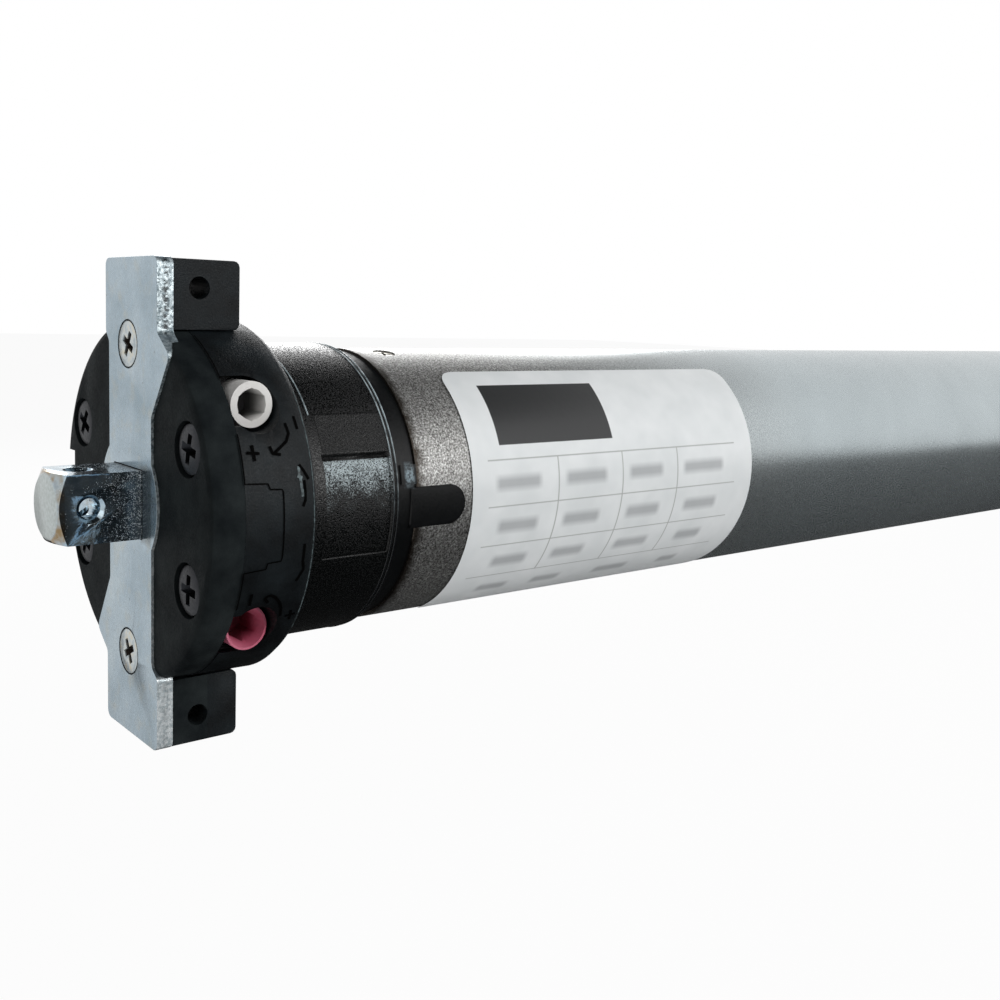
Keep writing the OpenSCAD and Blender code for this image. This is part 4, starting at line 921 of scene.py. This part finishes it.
# name, radius, distance, thickness, first and last angle, node it belongs to, material
LIPS = [
    ("crown_lip_1", 23.26, 31.7, 0.13, 0, 360, "crown_ring", lip_painted_highlight_nylon),
    ("crown_lip_2", 23.2, 32.45, 0.13, 0, 360, "crown_ring", lip_painted_highlight_nylon),
    ("crown_lip_front", 23.28, 19.2, 0.13, 36, 144, "crown_ring", lip_painted_highlight_nylon),
    ("crown_lip_front_far", 23.28, 19.2, 0.13, 216, 324, "crown_ring", lip_painted_highlight_nylon),
    # painted highlight: a faint pale line on the chamfer at the rear of the disc, where the window
    # lights it
    ("disc_rim_rub", 26.7, 15.72, 0.1, -40, 38, "head_body", painted_glint_nylon),
]
for name, radius, distance, thickness, first, last, node, material in LIPS:
    mesh = grown(name, lip, {"Radius": radius * MM, "Distance": distance * MM,
                             "Thickness": thickness * MM, "First angle": math.radians(first),
                             "Last angle": math.radians(last)})
    mesh.shade_smooth()
    own_piece(mesh, name, body_of[node], material)
    print(name, len(mesh.vertices), "vertices")

# %% [markdown]
# ## Screw heads, with geometry nodes
# Four black screws hold the head's shells and two zinc ones the plate. Each head is one small mesh
# with a cross recess, and a tree puts a copy at every point of a mesh that holds only the places.
# The recess is cut with a boolean whose tool is two crossed wedges, as the real driver's tip is.

# %% Screw head mesh


def cross_cutter(size, depth):
    """Two crossed wedges that start in front of the head and end, narrower, at the recess's floor."""
    build = bmesh.new()
    half, thin = size / 2, size * 0.13
    for quarter in (0, 90):
        spin = Matrix.Rotation(math.radians(quarter), 3, "X")
        top = [(-0.5, -half, -thin), (-0.5, half, -thin), (-0.5, half, thin), (-0.5, -half, thin)]
        low = [(depth, y * 0.45, z * 0.7) for _, y, z in top]
        corners = [build.verts.new(spin @ Vector(p) * MM) for p in top + low]
        for loop in ((3, 2, 1, 0), (4, 5, 6, 7), (0, 1, 5, 4),
                     (1, 2, 6, 5), (2, 3, 7, 6), (3, 0, 4, 7)):
            build.faces.new([corners[k] for k in loop])
    bmesh.ops.recalc_face_normals(build, faces=build.faces)
    return as_mesh(build, "cross_cutter")


def ring(build, x_mm, centre_mm, radius_mm, sides, first=0.0):
    """Points round a centre, in a plane across the axis."""
    angles = [first + 2 * math.pi * k / sides for k in range(sides)]
    y, z = centre_mm
    return [build.verts.new(Vector((x_mm, y + radius_mm * math.cos(a),
                                    z + radius_mm * math.sin(a))) * MM) for a in angles]


def bridge(build, one, two):
    for k in range(len(one)):
        n = (k + 1) % len(one)
        build.faces.new((one[k], one[n], two[n], two[k]))


def turned_head(profile, sides=48):
    """A closed solid of revolution round X from (distance, radius) pairs in mm."""
    build = bmesh.new()
    rings = [ring(build, x, (0, 0), r, sides) for x, r in profile]
    for one, two in zip(rings, rings[1:]):
        bridge(build, one, two)
    build.faces.new(rings[0])
    build.faces.new(list(reversed(rings[-1])))
    bmesh.ops.recalc_face_normals(build, faces=build.faces)
    return as_mesh(build, "turned_head")


def with_recess(profile, size, depth, name):
    head = put(name, turned_head(profile))
    tool = put(name + "_tool", cross_cutter(size, depth))
    cut = head.modifiers.new("recess", "BOOLEAN")
    cut.object = tool
    cut.solver = "EXACT"
    cut.use_self = True
    mesh = applied(head, name)
    mesh.shade_smooth()
    mesh.set_sharp_from_angle(angle=math.radians(40))
    bpy.data.objects.remove(tool)
    return mesh


# %% Place the screws with a tree


def screw_tree(head, material):
    tree, given = open_tree("screws_at_points", ["First turn", "Turn"])
    info = add(tree, "GeometryNodeObjectInfo", {"Object": head})
    step = times(tree, add(tree, "GeometryNodeInputIndex").outputs[0], given["Turn"])
    twist = add(tree, "ShaderNodeCombineXYZ", {"X": plus(tree, step, given["First turn"])})
    placed = add(tree, "GeometryNodeInstanceOnPoints", {"Points": given["Geometry"],
                 "Instance": info.outputs["Geometry"], "Rotation": twist.outputs["Vector"]})
    return close_tree(tree, placed.outputs["Instances"], material)


def screws(name, profile, recess, places, turns_deg, node):
    """recess is its width and depth; turns_deg is the first screw's turn and the step to the next."""
    head = put(name + "_source", with_recess(profile, *recess, name + "_head"))
    points = bpy.data.meshes.new(name + "_places")
    points.from_pydata([Vector(p) * MM for p in places], [], [])
    first, each = (math.radians(a) for a in turns_deg)
    mesh = grown(name, screw_tree(head, FINISH[node]), {"First turn": first, "Turn": each}, points)
    bpy.data.objects.remove(head)
    own_piece(mesh, name, body_of[node], FINISH[node], [node])
    print(name, len(places), "screws,", len(mesh.polygons), "faces")


PLATE_SCREWS = [(0, 23), (0, -23)]
reach, slope = 21.3, math.radians(27)
cover_places = [(0.62, sy * reach * math.cos(slope), sz * reach * math.sin(slope))
                for sy in (-1, 1) for sz in (-1, 1)]
pan_head = [(12.1, 1.55), (1.9, 1.55), (1.9, 3.55), (0.6, 3.6), (0.25, 3.45), (0.06, 2.9), (0.0, 1.4)]
flat_head = [(11.0, 1.55), (1.9, 1.55), (0.25, 3.38), (0.05, 3.38), (0.0, 3.3)]
screws("cover_screw_set", pan_head, (5.0, 1.5), cover_places, (4, 9), "cover_screws")
screws("plate_screw_set", flat_head, (4.4, 1.5), [(0.05, y, z) for y, z in PLATE_SCREWS], (28, -56),
       "plate_screws")

# %% [markdown]
# The gap round a countersunk head, and where the square pin goes through the plate, are painted
# shade: a fine black outline, a flat ring and a flat square frame, a hair above the plate's face.

# %% Painted shade outlines on the plate
HAIR = -0.01


def outline(name, inner, outer, sides, centres, first=0.0):
    build = bmesh.new()
    for centre in centres:
        bridge(build, *(ring(build, HAIR, centre, radius, sides, first) for radius in (inner, outer)))
    mesh = as_mesh(build, name)
    for face in mesh.polygons:
        if face.normal.x > 0:
            face.flip()
    print(name, len(mesh.polygons), "faces")
    return own_piece(mesh, name, "head", painted_shade_and_joint_black)


DIAGONAL = math.sqrt(2)
outline("screw_outlines", 3.36, 3.54, 64, PLATE_SCREWS)
outline("pin_outline", 5.0 * DIAGONAL, 5.16 * DIAGONAL, 4, [(0, 0)], math.radians(45))

# %% [markdown]
# ## Stage, light and background
# The photograph is cut out on white. The floor and the world are white where the camera, a mirror
# or glass sees them. For the light that falls on the object they are a plain grey, so that nothing
# is overlit. A twentieth of the floor's look stays real shading, which keeps the object's shadow.

# %% Floor and world
FLOOR_Z = -0.16
GLOW_SHARE = 0.95
WORLD_FILL = 0.12


def rays_that_see(tree):
    ray = add(tree, "ShaderNodeLightPath")
    sees = ray.outputs["Is Camera Ray"]
    for other in ("Is Glossy Ray", "Is Transmission Ray"):
        sees = add(tree, "ShaderNodeMath", {0: sees, 1: ray.outputs[other]}, operation="ADD",
                   use_clamp=True).outputs[0]
    return sees


def seen_or_lit(tree, share, lit, seen, output):
    """One shader for the rays that see, another for the rest."""
    both = add(tree, "ShaderNodeMixShader", {0: share, 1: lit.outputs[0], 2: seen.outputs[0]})
    add(tree, output, {"Surface": both.outputs[0]})


def stage_material(name, seen, lit):
    material = bpy.data.materials.new(name)
    material.use_nodes = True
    tree = material.node_tree
    tree.nodes.clear()
    matte = add(tree, "ShaderNodeBsdfDiffuse", {"Color": linear(lit)})
    glow = add(tree, "ShaderNodeEmission", {"Color": linear(seen), "Strength": 1.0})
    seen_or_lit(tree, times(tree, rays_that_see(tree), GLOW_SHARE), matte, glow,
                "ShaderNodeOutputMaterial")
    return material


def flat_sheet(name, centre, across, upward, material):
    mesh = bpy.data.meshes.new(name)
    c, a, u = Vector(centre), Vector(across), Vector(upward)
    mesh.from_pydata([c - a - u, c + a - u, c + a + u, c - a + u], [], [(0, 1, 2, 3)])
    mesh.materials.append(material)
    sheet = put(name, mesh)
    return sheet


pale_floor = stage_material("pale_floor", "#ffffff", "#dcdcdc")
flat_sheet("floor", (0.2, 0, FLOOR_Z), (6, 0, 0), (0, 6, 0), pale_floor)

world = bpy.data.worlds.new("studio")
bpy.context.scene.world = world
world.use_nodes = True
sky = world.node_tree
sky.nodes.clear()
fill_light, white = (add(sky, "ShaderNodeBackground", {"Color": (1, 1, 1, 1), "Strength": strength})
                     for strength in (WORLD_FILL, 1.0))
seen_or_lit(sky, rays_that_see(sky), fill_light, white, "ShaderNodeOutputWorld")
print("floor at Z", FLOOR_Z, "m")

# %% [markdown]
# The photograph was lit by a window at about eye level: surfaces that face it are bright, and both
# the ceiling and the ground are dark in reflections. Two large lamps give the light that falls on
# the object and stay out of reflections. Four others show in them: the window's pane, a soft one
# from the left, and two behind that draw the upper rims.

# %% Lamps


def soft_lamp(name, place, target, size, power, **visible):
    data = bpy.data.lights.new(name, "AREA")
    data.shape = "RECTANGLE"
    data.size, data.size_y = size
    data.energy = power
    lamp = put(name, data)
    lamp.location = place
    lamp.rotation_euler = (Vector(target) - Vector(place)).to_track_quat("-Z", "Y").to_euler()
    for kind, shown in visible.items():
        setattr(lamp, kind, shown)


soft_lamp("top_softbox", (0.12, -0.1, 0.7), (0.12, 0, 0), (1.2, 0.7), 1.1, visible_glossy=False)
soft_lamp("window_softbox", (0.55, -0.85, 0.5), (0.05, 0, 0), (0.7, 0.5), 5.4, visible_glossy=False)
soft_lamp("window_pane", (0.42, -0.92, 0.31), (0.03, 0, 0), (0.36, 0.46), 2.2)
soft_lamp("left_softbox", (-0.7, -0.3, 0.3), (0.0, 0, 0), (0.5, 0.5), 0.6)
soft_lamp("rim_softbox", (0.87, 1.08, 0.32), (0.05, 0, 0), (0.66, 0.35), 4.4, visible_camera=False)
soft_lamp("back_softbox", (0.48, 0.98, 0.52), (0.03, 0, 0), (1.2, 0.45), 4.4, visible_camera=False)
print("lamps:", len(bpy.data.lights))

# %% [markdown]
# Dark cards, the flags of a photographer, stand for ceiling and ground, and two small paler ones
# give the square pin something to mirror. Only reflections see the cards.

# %% Cards


def card(name, centre, across, upward, colour):
    material = bpy.data.materials.new(name)
    material.use_nodes = True
    fill(material.node_tree, material.node_tree.nodes["Principled BSDF"],
         {"Base Color": linear(colour), "Roughness": 1.0})
    sheet = flat_sheet(name, centre, across, upward, material)
    for kind in ("camera", "diffuse", "shadow", "transmission"):
        setattr(sheet, "visible_" + kind, False)


CARD_DARK = "#212223"
card("ground_flag", (1.17, -0.6, FLOOR_Z + 0.01), (1.25, 0, 0), (0, 1.8, 0), CARD_DARK)
card("low_front_flag", (0.8, -1.6, -0.035), (1.6, 0, 0), (0, 0, 0.115), CARD_DARK)
card("ceiling_flag", (0.2, 0, 0.9), (0.8, 0, 0), (0, 0.75, 0), CARD_DARK)
card("camera_flag", (-0.55, -0.8, 0.1), (0.3, -0.2, 0), (0, 0, 0.35), "#313539")
card("sky_patch", (0.262, -0.88, FLOOR_Z + 0.02), (0.05, 0, 0), (0.068, -0.176, 0), "#a9c6de")
card("near_patch", (0.26, -0.655, FLOOR_Z + 0.02), (0.12, 0, 0), (0, 0.05, 0), "#6f675d")
print("stage ready")
